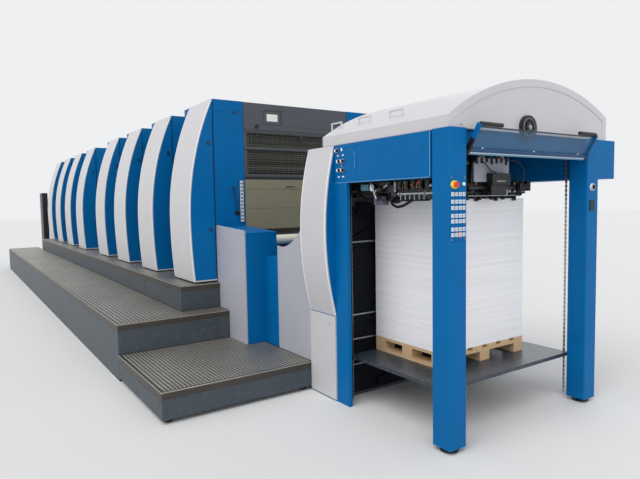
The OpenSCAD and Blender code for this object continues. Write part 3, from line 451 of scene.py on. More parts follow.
def side_studs(side, tag):
    @piece(STUD, tag, smooth=False)
    def gallery_studs(s):
        s.pads(GALLERY_REAR + 20, GALLERY_FRONT - 16, *span(side, 1340, EDGE - 15), GALLERY_H,
               **COARSE_STUDS)
        s.pads(PLINTH_FRONT + 17, GALLERY_FRONT - 16, *span(side, TOWER_SIDE + 12, 1338), GALLERY_H,
               **COARSE_STUDS)

    @piece(STUD, tag, smooth=False)
    def plinth_studs(s):
        s.pads(LINE_REAR + 20, PLINTH_FRONT - 15, *span(side, TOWER_SIDE + 5, 1322), PLINTH_H,
               **COARSE_STUDS)


for side, tag in SIDES:
    side_studs(side, tag)

TOP_EDGES = [edge for side in (-1, 1)
             for edge in ((GALLERY_REAR, GALLERY_FRONT, side, EDGE, GALLERY_H),
                          (LINE_REAR, PLINTH_FRONT, side, PLINTH_W / 2, PLINTH_H))]
TOP_EDGES.append((PLATFORM_REAR, PLATFORM_FRONT, -1, EDGE, PLATFORM_H))


def edge_strips(s, out, plinth_side, low, front_low, high, r):
    """Strips round the walkways that stand out, between low and high under each tread."""
    for x0, x1, side, y, top in TOP_EDGES:
        s.box(x0, x1, *span(side, y, y + out), top - low, top - high, r=r)
    for side in (-1, 1):
        s.box(GALLERY_FRONT, GALLERY_FRONT + out, *span(side, TOWER_SIDE, EDGE + out),
              GALLERY_H - front_low, GALLERY_H - high, r=r)
        s.box(PLINTH_FRONT, PLINTH_FRONT + out, *span(side, TOWER_SIDE, plinth_side),
              PLINTH_H - front_low, PLINTH_H - high, r=r)
    s.box(PLATFORM_FRONT, PLATFORM_FRONT + out, -EDGE - out, -NECK_SIDE,
          PLATFORM_H - front_low, PLATFORM_H - high, r=r)


@piece(NOSING, replaces=("nosings",))
def walkway_edges(s):
    edge_strips(s, out=3, plinth_side=1336, low=8, front_low=8, high=0, r=1.2)


@piece(BAND)
def walkway_bands(s):
    edge_strips(s, out=2.4, plinth_side=1335, low=58, front_low=52, high=8.5, r=0.8)


def skirt(s, x0, x1, side, y, z0, z1, count):
    """Raised panels with open seams between them, along the side face at y."""
    for k in range(count):
        a = x0 + (x1 - x0) * k / count + SEAM
        b = x0 + (x1 - x0) * (k + 1) / count - SEAM
        s.box(a, b, *span(side, y, y + SEAM), z0, z1, r=0.4)


def side_skirts(side, tag):
    @piece(SKIRT, tag)
    def gallery_skirts(s):
        skirt(s, GALLERY_REAR, GALLERY_FRONT, side, EDGE, 24, GALLERY_H - 64, 9)
        skirt(s, LINE_REAR, PLINTH_FRONT - 2, side, PLINTH_W / 2, GALLERY_H + 4, PLINTH_H - 64, 8)
        for inner, outer in ((1374, EDGE - 4), (TOWER_SIDE + 5, 1366)):
            s.box(GALLERY_FRONT, GALLERY_FRONT + SEAM, *span(side, inner, outer), 232,
                  GALLERY_H - 58, r=0.6)
        s.box(PLINTH_FRONT, PLINTH_FRONT + SEAM, *span(side, TOWER_SIDE + 5, 1330), GALLERY_H + 6,
              PLINTH_H - 58, r=0.6)
        s.box(PLINTH_FRONT, PLINTH_FRONT + 2.2, *span(side, 1298, 1326), GALLERY_H + 6,
              PLINTH_H - 58, r=0.8)


for side, tag in SIDES:
    side_skirts(side, tag)


@piece(SKIRT)
def platform_skirts(s):
    skirt(s, PLATFORM_REAR, PLATFORM_FRONT, -1, EDGE, 36, PLATFORM_H - 64, 2)
    for y0, y1 in ((-EDGE + 34, -1370), (-1362, -NECK_SIDE - 2)):
        s.box(PLATFORM_FRONT, PLATFORM_FRONT + SEAM, y0, y1, 36, PLATFORM_H - 58, r=0.6)
    s.box(PLATFORM_FRONT, PLATFORM_FRONT + 2.6, -EDGE - 2, -EDGE + 30, 32, PLATFORM_H - 52, r=1.0)


@piece(PLASTIC)
def platform_latch(s):
    s.box(-2030, -1985, -EDGE - 3, -EDGE, 60, 78, r=1.2)
    s.box(-1490, -1476, -EDGE - 3, -EDGE, 120, 150, r=1.2)


# Printing units
def cover_y(z, out=0.0):
    """How far the curved cover stands out from the tower at height z."""
    radius = R_UP if z > BELLY_Z else R_LOW
    return HALF_TOWER + BULGE + out - (radius - math.sqrt(radius * radius - (z - BELLY_Z) ** 2))


def side_y(z, out=0.0):
    """How far the delivery's curved side cover stands out at height z."""
    return (HALF_W + SIDE_BULGE + out
            - (SIDE_R - math.sqrt(SIDE_R ** 2 - (z - SIDE_BELLY_Z) ** 2)))


def curved_strip(s, curve, side, x0, x1, z0, z1, inner, outer, n=26):
    """A strip that follows a curved side cover, from inner to outer over its surface."""
    zs = [z0 + (z1 - z0) * k / n for k in range(n + 1)]
    s.prism([(side * curve(z, outer), z) for z in zs]
            + [(side * curve(z, inner), z) for z in reversed(zs)], "x", x0, x1)


PANEL_FOOT, PANEL_SEAM = 706, 2350
LATCH_Y = -HALF_TOWER - 58
CORE_IN = HALF_CORE - 8


def unit_end(x, tag):
    """Panels, keys and the lever's knob on a unit's end face at x."""
    @piece(BLUE, tag)
    def housing_panels(s):
        for side in (-1, 1):
            ends = span(side, HALF_CORE + 4, HALF_TOWER - 4)
            s.box(x, x + 2, *ends, PANEL_FOOT, PANEL_SEAM, r=0.9)
            s.box(x, x + 2, *ends, PANEL_SEAM + 8, TOWER_TOP - 3, r=0.9)
            s.box(x - TOWER_L + 6, x - COVER_L - 40, *span(side, HALF_TOWER, HALF_TOWER + 2),
                  PANEL_FOOT, PANEL_SEAM, r=0.9)

    @piece(KEY, tag)
    def unit_key_strip(s):
        s.box(x + 12, x + 13.6, -HALF_CORE - 58, -HALF_CORE - 22, 1294, 1696, r=0.8)

    @piece(GUARD, tag)
    def unit_keys(s):
        for k in range(11):
            z = 1310 + k * 35
            for y in (-HALF_CORE - 52, -HALF_CORE - 37):
                s.box(x + 13.6, x + 15.2, y, y + 10, z, z + 18, r=0.6)

    @piece(PLASTIC, tag)
    def unit_lever_knob(s):
        s.rod((x + 22, -759, 1612), (x + 22, -763, 1642), 24, seg=20, r=5)
        s.ring((x + 4, -724, 1381), (1, 0, 0), 50, 25, 8)


def rims(s, side, x):
    """Bright rims at both ends of a unit's curved cover, a painted highlight where its edges catch
    the light.
    """
    for x0, x1, out in ((x - 9, x + 0.6, 0.9), (x - COVER_L - 0.4, x - COVER_L + 7, 0.7)):
        curved_strip(s, cover_y, side, x0, x1, COVER_Z + 1, TOWER_TOP - 30, -4, out)


def unit_covers(x, tag):
    """Painted highlight rims of both covers, and the seal and latches of the one that opens."""
    body = "cover" + tag

    @piece(RIM_HIGHLIGHT, tag, body=body)
    def cover_highlight_rim(s):
        rims(s, -1, x)

    @piece(RIM_HIGHLIGHT, tag)
    def drive_cover_highlight_rim(s):
        rims(s, 1, x)

    @piece(RUBBER, tag, body=body)
    def cover_seal(s):
        y = -HALF_TOWER - 12
        for z0, z1 in ((COVER_Z + 40, 1330), (1342, 2010), (2022, 2260)):
            s.box(x - 3, x - 0.6, y - 3, y + 1, z0, z1, r=0.5)

    @piece(PLASTIC, tag, body=body)
    def cover_latch(s):
        for z in (1231, 2055):
            s.ring((x + 6, LATCH_Y, z), (1, 0, 0), 36, 20, 3)
            s.box(x + 5, x + 9, LATCH_Y - 3, LATCH_Y + 3, z - 9, z + 9, r=0.8)


def unit_guards(x, tag):
    """Guards, their handles and the display between a unit's housings."""
    @piece(OLIVE, tag)
    def olive_panels(s):
        for z0, z1 in ((1218, 1415), (1421, 1608), (1614, 1702)):
            s.box(x, x + 2.4, -CORE_IN, CORE_IN, z0, z1, r=1.1)

    @piece(PLASTIC, tag)
    def guard_handles(s):
        for y in (-111, 330):
            s.tube([(x + dx, y + dy, 1640) for dx, dy in ((2, -45), (20, -45), (26, -38), (26, 38),
                                                          (20, 45), (2, 45))], 9)
        s.box(x - 4, x + 1, -HALF_CORE + 6, HALF_CORE - 6, 1196, 1208, r=1.0)

    @piece(GUARD, tag)
    def top_guard_panels(s):
        s.box(x, x + 1.6, -CORE_IN, CORE_IN, TOWER_TOP - 262, TOWER_TOP - 222, r=0.7)
        for y0, y1 in ((-CORE_IN, -414), (-190, CORE_IN)):
            s.box(x, x + 1.6, y0, y1, TOWER_TOP - 216, TOWER_TOP - 8, r=0.7)

    @piece(GUARD, tag)
    def display_bezel(s):
        s.box(x - 8, x - 5, -400, -204, 2266, 2400, r=1.2)

    @piece(SCREEN, tag)
    def display_screen(s):
        s.box(x - 5, x - 3.5, -366, -240, 2298, 2370, r=0.8)


for number, x in enumerate(UNITS, 1):
    unit_end(x, "_%d" % number)
    unit_covers(x, "_%d" % number)
    unit_guards(x, "_%d" % number)

FIRST_UNIT = UNITS[0]


@piece(WIRE, smooth=False)
def mesh_wires(s):
    for k in range(20):
        y = -600 + (k + 0.5) * 60
        s.rod((FIRST_UNIT - 11.5, y, 1764), (FIRST_UNIT - 11.5, y, 2170), 4.4, seg=8)
    for k in range(18):
        if k % 3:
            z = 1764 + k * 406 / 18
            s.rod((FIRST_UNIT - 9, -600, z), (FIRST_UNIT - 9, 600, z), 4.4, seg=8)


@piece(GUARD)
def mesh_bar(s):
    s.box(FIRST_UNIT - 3, FIRST_UNIT - 1, -HALF_CORE + 5, HALF_CORE - 5, 2171, 2198, r=0.7)
    for side in (1, -1):
        s.box(FIRST_UNIT - 3, FIRST_UNIT - 1.2, *span(side, 601, 628), 1762, 2170, r=0.7)
    s.box(FIRST_UNIT - 3, FIRST_UNIT + 6, -CORE_IN, CORE_IN, 2006, 2034, r=2)
    s.box(FIRST_UNIT - 3, FIRST_UNIT + 2, -CORE_IN, CORE_IN, 1738, 1760, r=1)


@piece(PLASTIC)
def mesh_knob(s):
    s.rod((FIRST_UNIT - 3, 11, 2139), (FIRST_UNIT + 26, 11, 2139), 20, r=2)
    s.rod((FIRST_UNIT + 26, 11, 2139), (FIRST_UNIT + 44, 11, 2139), 42, r=6)
    s.rod((FIRST_UNIT, -480, 2243), (FIRST_UNIT + 20, -480, 2243), 30, r=4)


@piece(WORN)
def guard_trims(s):
    s.box(FIRST_UNIT - 1, FIRST_UNIT + 3, -HALF_CORE + 10, HALF_CORE - 10, 2182, 2190, r=1)
    s.box(FIRST_UNIT - 6, FIRST_UNIT - 1, -HALF_CORE + 6, HALF_CORE - 6, 1184, 1192, r=1)


@piece(CREAM)
def neck_roller_sleeve(s):
    s.rod((-2740, -622, 1098.5), (-2740, 622, 1098.5), 99.4, seg=48)


# Painted highlights: bright strips along both ends of the delivery's curved side covers.
@piece(RIM_HIGHLIGHT)
def side_cover_highlight_rims(s):
    for side in (-1, 1):
        for x0, x1, out in ((-COLUMN_REAR - 8, -COLUMN_REAR + 0.5, 0.9),
                            (-DELIVERY_REAR, -DELIVERY_REAR + 7, 0.7)):
            curved_strip(s, side_y, side, x0, x1, 642, BEAM_TOP - 3, -3, out)


@piece(PALE)
def side_cover_studs(s):
    for side in (-1, 1):
        for k in range(13):
            for j in range(5):
                z, x = 880 + k * 58, -1392 + j * 58
                s.rod((x, side * side_y(z, -1), z), (x, side * side_y(z, 0.8), z), 7, seg=10)
        s.box(-1180, -1160, *span(side, HALF_W + 12, HALF_W + 13.6), 560, 580, r=0.7)


def unit_back(x, tag):
    """Panels on a unit's roof and back, and the back's handles."""
    back = x - TOWER_L

    @piece(GUARD, tag)
    def tower_panels(s):
        for x0, x1 in ((back + 6, x - 380), (x - 374, x - 32)):
            for side in (1, -1):
                s.box(x0, x1, *span(side, 3, HALF_CORE - 6), TOWER_TOP - 2, TOWER_TOP - 0.2, r=0.8)
        for z0, z1 in ((732, 1230), (1238, 1730), (1738, 2200), (2208, 2458)):
            s.box(back - 1.8, back, -CORE_IN, CORE_IN, z0, z1, r=0.8)

    @piece(PLASTIC, tag)
    def tower_handles(s):
        for z in (1180, 1680, 2150):
            s.tube([(back - dx, y, z) for dx, y in ((1, -60), (22, -60), (26, -50), (26, 50),
                                                    (22, 60), (1, 60))], 10)


for number, x in enumerate(UNITS, 1):
    unit_back(x, "_%d" % number)

# Delivery: beam and posts
FACE_Y = -HALF_W
KNOBS = ((-1051, 1835), (-1030, 1696), (-985, 1696), (-1030, 1758), (-985, 1758))


@piece(BLUE)
def beam_panels(s):
    s.box(-1086, -840, FACE_Y - 1.6, FACE_Y, 1616, 1868, r=0.9)
    s.box(-836, -160, FACE_Y - 1.6, FACE_Y, 1616, 1868, r=0.9)


@piece(EDGE_BLUE)
def beam_trims(s):
    s.box(-1086, -150, FACE_Y - 1.8, FACE_Y, 1606.5, 1611.5, r=0.6)
    s.box(-156, -150, FACE_Y - 1.8, FACE_Y, 1615, 1869, r=0.6)
    for z0, z1 in ((1700, 1752), (1768, 1820)):
        s.box(-860, -855, FACE_Y - 3.2, FACE_Y - 1.2, z0, z1, r=0.6)


@piece(LAMP)
def beam_marks(s):
    for x, z in KNOBS:
        s.prism([(x + 11.5 * math.sin(math.radians(t)), z + 11.5 * math.cos(math.radians(t)))
                 for t in range(180, 361, 12)], "y", FACE_Y - 23.4, FACE_Y - 21.8)
    for x, z, w, h in ((-1004, 1840, 14, 20), (-1049, 1800, 18, 9), (-990, 1800, 18, 9),
                       (-1041, 1650, 20, 9), (-988, 1650, 20, 9), (-1008, 1727, 7, 7)):
        s.box(x - w / 2, x + w / 2, FACE_Y - 3, FACE_Y - 1.2, z - h / 2, z + h / 2, r=0.6)


@piece(STEEL)
def knob_collars(s):
    for x, z in KNOBS:
        s.ring((x, FACE_Y - 5, z), (0, 1, 0), 33, 25.6, 7)


PANEL_Y, PANEL_Z, PANEL_W, PANEL_H = FACE_Y + 2, 1245.0, 124, 362
STOP_Y, STOP_Z = PANEL_Y + 24, PANEL_Z + 314
DIAL_Y, DIAL_Z = HALF_W - 84.0, 1547
KEY_ROWS = (22, 53, 98, 129, 173, 208, 250)
KEY_COUNT, KEY_PITCH = 4, 30


@piece(BLUE, replaces=("post_keys",))
def key_panel(s):
    s.box(0, 3, PANEL_Y, PANEL_Y + PANEL_W, PANEL_Z, PANEL_Z + PANEL_H, r=0.8)
    for z in (86, 162, 240):
        s.box(3, 4.2, PANEL_Y + 4, PANEL_Y + 120, PANEL_Z + z - 1.5, PANEL_Z + z + 0.5, r=0.4)


@piece(KEY)
def key_caps(s):
    for z in KEY_ROWS:
        for k in range(KEY_COUNT):
            y = PANEL_Y + 5 + k * KEY_PITCH
            s.box(3, 8.5, y, y + 21, PANEL_Z + z, PANEL_Z + z + 22, r=1.4)


@piece(GUARD, smooth=False)
def key_signs(s):
    for z in KEY_ROWS:
        for k in range(KEY_COUNT):
            y = PANEL_Y + 5.5 + k * KEY_PITCH
            s.box(8.5, 9.2, y + 6, y + 14, PANEL_Z + z + 7, PANEL_Z + z + 9.5)
            s.box(8.5, 9.2, y + 6, y + 14, PANEL_Z + z + 12.5, PANEL_Z + z + 15)


@piece(RED)
def stop_button(s):
    s.box(3, 5.2, PANEL_Y + 61.5, PANEL_Y + 89.5, PANEL_Z + 18.5, PANEL_Z + 47.5, r=0.9)
    s.rod((3, STOP_Y, STOP_Z), (20, STOP_Y, STOP_Z), 25, seg=32)
    s.rod((20, STOP_Y, STOP_Z), (32, STOP_Y, STOP_Z), 34, seg=32, r=5)


@piece(YELLOW)
def stop_collar(s):
    s.ring((10.5, STOP_Y, STOP_Z), (1, 0, 0), 46, 25.4, 15, seg=40)
    s.ring((19, STOP_Y, STOP_Z), (1, 0, 0), 41, 25.4, 2, seg=40)


@piece(LAMP)
def ready_lamp(s):
    s.rod((3, PANEL_Y + 105, PANEL_Z + 318), (9, PANEL_Y + 105, PANEL_Z + 318), 20, r=1.6)
    s.rod((9, PANEL_Y + 105, PANEL_Z + 318), (12, PANEL_Y + 105, PANEL_Z + 318), 15, r=2)
    s.rod((0, DIAL_Y, DIAL_Z), (12, DIAL_Y, DIAL_Z), 50, r=1)


@piece(STEEL)
def key_panel_screws(s):
    for z in (PANEL_Z + 6, PANEL_Z + PANEL_H - 6):
        for y in (PANEL_Y + 6, PANEL_Y + PANEL_W - 6):
            s.rod((3, y, z), (4.4, y, z), 6, seg=12, r=0.5)


@piece(PALE)
def far_dial_trims(s):
    s.ring((13, DIAL_Y, DIAL_Z), (1, 0, 0), 48, 32, 3)


@piece(PLASTIC)
def far_slot_frame(s):
    s.box(0, 5, DIAL_Y - 25, DIAL_Y + 25, 1385, 1455, r=0.6)
    s.box(5, 7, DIAL_Y - 25, DIAL_Y + 25, 1385, 1391, r=0.6)
    s.box(5, 7, DIAL_Y - 25, DIAL_Y + 25, 1449, 1455, r=0.6)
    s.box(5, 7, DIAL_Y - 25, DIAL_Y - 19, 1391, 1449, r=0.6)
    s.box(5, 7, DIAL_Y + 19, DIAL_Y + 25, 1391, 1449, r=0.6)


@piece(PLASTIC)
def far_dial(s):
    s.rod((12, DIAL_Y, DIAL_Z), (15, DIAL_Y, DIAL_Z), 31, r=1)
    s.box(15, 24, DIAL_Y - 4, DIAL_Y + 4, 1534, 1560, r=1.5)
    s.box(5, 6, DIAL_Y - 18.5, DIAL_Y + 18.5, 1391.5, 1448.5)


# Visor and hood
TILT = Matrix.Rotation(math.radians(31), 3, "Y")
PIVOT_X, PIVOT_Z = -20, 1750
RAIL_END = 583
ARM = Vector((0, 0, 0.172))
DISC = (0, -43, 1917)


def visor_box(s, x0, x1, y0, y1, z0, z1, r=1.0):
    """A block placed from the hinge's middle, with the visor open as in the photo."""
    s.box(PIVOT_X + x0, PIVOT_X + x1, y0, y1, PIVOT_Z + z0, PIVOT_Z + z1, r=r, turn=TILT,
          about=(PIVOT_X, 0, PIVOT_Z))


@piece(RAIL_BLUE, body="visor")
def visor_rail_lip(s):
    visor_box(s, 13, 14.8, -RAIL_END, RAIL_END, -12, -4, r=0.8)
    visor_box(s, -14.6, -13, -RAIL_END, RAIL_END, -12, 14, r=0.7)
    visor_box(s, -13, 13, -RAIL_END, RAIL_END, -13.6, -12, r=0.6)


@piece(RAIL_DEEP, body="visor")
def visor_rail_band(s):
    visor_box(s, 13, 14.8, -RAIL_END, RAIL_END, 4.2, 12, r=0.8)
    visor_box(s, 2.2, 12.8, -RAIL_END, RAIL_END, 12.2, 24, r=1.2)


@piece(ALLOY, body="visor")
def visor_rail(s):
    # The narrow bright line along the rail's outer face is partly polished alloy and partly a
    # painted highlight.
    visor_box(s, 13, 16.2, -RAIL_END, RAIL_END, -3, 3.4, r=1.2)
    visor_box(s, -6, -2.2, -RAIL_END, RAIL_END, 12, 18, r=0.8)
    for y in (-488, 0, 487):
        visor_box(s, 2, 10, y - 9, y + 9, 20, 32, r=2)


@piece(PLASTIC, body="visor")
def visor_brackets(s):
    for side, low in ((-1, 84), (1, 156)):
        visor_box(s, 15, 17, *span(side, 585.6, 597.5), -10, low, r=0.8)
        visor_box(s, -17, -15, *span(side, 585.6, 597.5), -10, low, r=0.8)
        visor_box(s, -15, 15, *span(side, 597.5, 599.5), 30, 84, r=0.8)


@piece(PLASTIC, body="visor")
def visor_fittings(s):
    visor_box(s, -3.6, 3.6, -RAIL_END, RAIL_END, 150, 157, r=1)
    for side in (-1, 1):
        s.ring((PIVOT_X, side * 604, PIVOT_Z), (0, 1, 0), 34, 12.6, 10)
        visor_box(s, -17, 17, *span(side, 597.6, 600), -16, 40, r=0.8)


@piece(RUBBER, body="visor")
def visor_grip_ribs(s):
    for side in (-1, 1):
        a, b = side * 586, side * (586 - 190)
        for k in range(6):
            y = a + (b - a) * (k + 0.7) / 6.4
            tip = TILT @ ARM
            s.ring((PIVOT_X + tip.x * 1000, y, PIVOT_Z + tip.z * 1000), (0, 1, 0), 25.6, 23.5, 9,
                   seg=24)


@piece(PLASTIC)
def vent_disc_ribs(s):
    s.ring(DISC, (1, 0, 0), 146, 118, 4, seg=48)
    s.ring(DISC, (1, 0, 0), 60, 30, 4, seg=32)
    for k in range(8):
        a = k * math.pi / 4
        s.box(-3, 1.5, -45, -41, 1947, 1974, r=0.5, turn=Matrix.Rotation(a, 3, "X"),
              about=DISC)


@piece(STEEL)
def vent_disc_cap(s):
    s.rod((2, *DISC[1:]), (8, *DISC[1:]), 26, r=2)
    s.ring((-1, *DISC[1:]), (1, 0, 0), 112, 106, 4, seg=48)


@piece(STEEL)
def hood_screws(s):
    for y in (-640, -500, 560, 780):
        s.rod((-24, y, 1900), (-19, y, 1900), 10, seg=16, r=1)
    s.box(-1250, -20, -748, -744, 1876, 1880)


# Gear of the sheet brake over the pile, between the y values of the operator side's rail
RAIL_FACE, RAIL_BACK = -668, -641


@piece(PLASTIC)
def stop_gear(s):
    s.box(-282, -231, -104, -100.4, 1568, 1646, r=1)
    s.box(-282, -231, 78.4, 82, 1568, 1646, r=1)
    s.box(-234.6, -230, -104, 82, 1568, 1646, r=1.4)
    s.box(-282, -231, -104, 82, 1642.4, 1646, r=1)
    s.box(-262, -250, -90, 68, 1500, 1568, r=2)
    for y in (-180, -60, 60, 180, 300):
        s.box(-352, -322, y - 14, y + 14, 1492, 1560, r=2)
        s.rod((-337, y, 1560), (-337, y, 1640), 12)
        s.box(-322, -300, y - 6, y + 6, 1500, 1514, r=1)
    s.box(-346, -328, -330, 380, 1512, 1528, r=2)
    s.box(-310, -292, -260, 340, 1540, 1562, r=2)
    s.rod((-286, 240, 1556), (-286, 345, 1556), 14, r=2)
    s.box(-300, -262, 232, 262, 1536, 1582, r=2)
    s.tube([(-268, 92, 1736), (-262, 150, 1738), (-258, 210, 1722), (-257, 250, 1690),
            (-258, 266, 1650), (-260, 264, 1610), (-264, 254, 1580)], 9)
    s.tube([(-268, -150, 1720), (-258, -120, 1690), (-256, -96, 1668), (-256, -60, 1655),
            (-256, -20, 1646)], 7)
    s.box(-322, -294, -230, 140, 1700, 1742, r=3)
    for k in range(7):
        s.box(-294, -276, -214 + k * 50, -190 + k * 50, 1706 + (k % 3) * 6, 1748, r=2)
        s.rod((-285, -202 + k * 50, 1748), (-285, -202 + k * 50, 1766), 9, seg=10)
    s.tube([(-300, -226, 1500), (-296, -236, 1560), (-294, -238, 1620), (-296, -232, 1680),
            (-304, -222, 1706)], 11)
    for k in range(9):
        y = -196 + k * 62
        s.box(-372, -352, y - 9, y + 9, 1470 + (k % 2) * 8, 1500, r=2)
        s.rod((-362, y, 1500), (-362, y, 1524), 10, seg=10)


@piece(BRASS)
def stop_gear_brass(s):
    for y in (-170, -70, 30, 110):
        s.box(-290, -274, y, y + 14, 1752, 1758, r=1)


@piece(STEEL)
def stop_gear_bright(s):
    for y in (40, 96, 150, 205):
        s.rod((-300, y, 1528), (-285, y, 1528), 16, r=2)
    s.rod((-318, -240, 1500), (-318, 320, 1500), 9)
    s.box(-296, -290, 88, 132, 1496, 1540, r=1)
    s.box(-231, -229, -60, 30, 1590, 1596, r=0.5)


@piece(BRASS)
def brass_fittings(s):
    for y in (-190, 118, 214):
        s.rod((-296, y, 1571), (-296, y, 1590), 13, seg=6, r=1)
    for x in (-1046, -1034):
        s.tube([(x, -662, 1600), (x + 3, -664, 1540), (x, -666, 1480), (x - 4, -664, 1420)], 8)
    for x in (-500, -452, -372, -318):
        s.rod((x, -650, 1560), (x, -650, 1588), 11, seg=12, r=1)
        s.rod((x, -650, 1552), (x, -650, 1560), 17, seg=6, r=1)


@piece(TEAL)
def valve_box(s):
    s.box(-909, -826, RAIL_FACE, RAIL_BACK, 1547, 1590, r=3)
    s.box(-897, -838, -670.5, RAIL_FACE, 1556, 1581, r=1.2)


@piece(VIOLET)
def side_stop_block(s):
    s.box(-776, -664, -660, -622, 1448, 1476, r=5)
    s.box(-768, -742, -666, -634, 1476, 1516, r=3)
    s.box(-700, -676, -666, -634, 1476, 1506, r=3)
    s.rod((-720, -662, 1462), (-720, RAIL_FACE, 1462), 14, r=1)
    s.rod((-746, -662, 1462), (-746, RAIL_FACE, 1462), 10, r=1)


@piece(LAMP)
def work_lamp(s):
    s.rod((-790, -640, 1566), (-790, RAIL_FACE, 1566), 46, r=6)
    s.rod((-752, -640, 1540), (-752, -662, 1540), 26, r=4)
    s.tube([(-800, RAIL_FACE, 1596), (-770, -676, 1560), (-748, -676, 1520),
            (-740, RAIL_FACE, 1490)], 7)
    s.box(-262, -240, -664, RAIL_BACK, 1556, 1572, r=2)


@piece(STEEL)
def gripper_steel(s):
    s.rod((-547, -652, 1518), (-236, -652, 1518), 20, r=3)
    s.rod((-700, -648, 1556), (-622, -648, 1594), 20, r=3)
    for k in range(9):
        s.ring((-566, -650, 1536 + k * 7.4), (0, 0, 1), 26, 18, 3.6)
    s.ring((-520, -652, 1518), (1, 0, 0), 32, 20.4, 12)
    s.ring((-300, -652, 1518), (1, 0, 0), 32, 20.4, 12)
    for k in range(6):
        s.rod((-512 + k * 42, -655, 1480), (-512 + k * 42, -655, 1516), 6, seg=10)


@piece(PLASTIC)
def gripper_gear(s):
    s.ring((-790, -655, 1566), (0, 1, 0), 58, 46.4, 20)
    s.rod((-718, -655, 1546), (-690, -655, 1560), 44, r=4)
    s.rod((-632, -655, 1590), (-604, -655, 1603), 40, r=4)
    s.rod((-566, -650, 1500), (-566, -650, 1602), 17, r=2)
    s.box(-590, -542, RAIL_FACE, RAIL_BACK, 1500, 1534, r=3)
    s.tube([(-985, -622, 1532), (-940, -622, 1506), (-880, -622, 1480), (-858, -622, 1474)], 15)
    s.box(-1010, -950, -664, RAIL_BACK, 1500, 1560, r=3)
    s.box(-760, -735, -662, -636, 1508, 1560, r=2)
    for k in range(5):
        s.box(-530 + k * 62, -496 + k * 62, RAIL_FACE, RAIL_BACK, 1545, 1600, r=3)
        s.rod((-505 + k * 62, RAIL_FACE, 1570), (-505 + k * 62, -674, 1570), 16, r=1)
    s.box(-480, -250, -646, -620, 1486, 1504, r=2)
    s.tube([(-930, -655, 1592), (-900, -672, 1540), (-860, -676, 1512), (-800, -676, 1506),
            (-750, -672, 1524), (-720, -655, 1560)], 8)
    s.tube([(-1080, -715, 1590), (-1074, -712, 1500), (-1068, -710, 1400), (-1072, -712, 1300),
            (-1080, -716, 1210), (-1098, -718, 1160)], 12)
    s.tube([(-700, -640, 1530), (-690, RAIL_FACE, 1500), (-664, -676, 1470), (-622, -676, 1462),
            (-590, RAIL_FACE, 1480), (-580, -655, 1502)], 9)
    s.tube([(-440, -640, 1500), (-425, RAIL_FACE, 1476), (-400, -676, 1462),
            (-376, RAIL_FACE, 1474), (-366, -645, 1496)], 7)


@piece(RED)
def red_marks(s):
    s.box(-1004, -990, -667, -663, 1536, 1550, r=1)
    s.box(-346, -328, -670, -666, 1580, 1594, r=1)
    s.box(-406, -392, -670, -666, 1566, 1578, r=1)


@piece(GREEN)
def green_marks(s):
    s.box(-984, -970, -667, -663, 1536, 1550, r=1)
    s.box(-470, -452, -670, -666, 1584, 1596, r=1)


# Ribs of the drag hose, which is fixed at both ends under the rail
DRAG_X, DRAG_Y, DRAG_Z, DRAG_R = -640, -575, 1542, 70
DRAG_RIBS = 33


@piece(RUBBER)
def drag_hose_ribs(s):
    for k in range(DRAG_RIBS):
        a = math.radians(8 + k * 164 / (DRAG_RIBS - 1))
        middle = (DRAG_X + DRAG_R * math.cos(a), DRAG_Y, DRAG_Z - DRAG_R * math.sin(a))
        s.ring(middle, (-math.sin(a), 0, -math.cos(a)), 31.5, 26.5, 4.2, seg=20)


SIDE_HOSE = [(-676, -614, 1546), (-674, -606, 1500), (-658, -596, 1450), (-618, -590, 1432),
             (-560, -588, 1441), (-500, -592, 1464), (-455, -604, 1500), (-440, -614, 1546)]


@piece(RUBBER)
def side_hose(s):
    s.tube(SIDE_HOSE, 14, seg=16)
    for p, q in zip(SIDE_HOSE, SIDE_HOSE[1:]):
        a, b = Vector(p), Vector(q)
        count = int((b - a).length / 6.5)
        for k in range(count):
            s.ring(a.lerp(b, (k + 0.5) / count), b - a, 18, 13, 3, seg=16)
    for x in (-676, -440):
        s.rod((x, -614, 1530), (x, -614, 1548), 22, r=2)


# Bay: guard, rods and cable


@piece(DEEP, replaces=("rear_guard",))
def rear_guard_body(s):
    s.box(-1120, -1100, -HALF_W + 25, HALF_W - 25, 30, 1420, r=2)
    for k in range(9):
        z = 330 + k * 118
        s.box(-1101, -1095, -HALF_W + 34, HALF_W - 34, z, z + 84, r=2.5)
    s.rod((-1080, -692.5, 0), (-1080, -692.5, 250), 22, r=2)
    s.box(-1101, -1080, -698.5, -686.5, 190, 210, r=1)
    s.rod((-1088, -640, 1190), (-1088, -410, 1282), 20, r=3)
    s.box(-1100, -1078, -560, -430, 1376, 1470, r=4)
    s.box(-1100, -1084, -700, -590, 1392, 1440, r=4)
    s.box(-1096, -1078, -380, -300, 60, 120, r=4)
    s.tube([(-1088, -340, 90), (-1084, -300, 130), (-1083, -250, 150), (-1085, -200, 130),
            (-1092, -170, 100)], 12)


@piece(STEEL)
def rear_guard_rods(s):
    for z in (255, 445, 630, 1175):
        s.rod((-1086, -HALF_W + 25, z), (-1086, HALF_W - 25, z), 14, seg=20)
        for y in (-303, 303):
            s.rod((-1101, y, z), (-1087, y, z), 10, seg=12)


@piece(LAMP)
def bay_cable(s):
    s.ring((-1080, -692.5, 168), (0, 0, 1), 30, 22.4, 16)
    s.tube([(-965, -728, 1400), (-980, -723, 1330), (-990, -720, 1250), (-984, -722, 1180),
            (-968, -728, 1110)], 9)


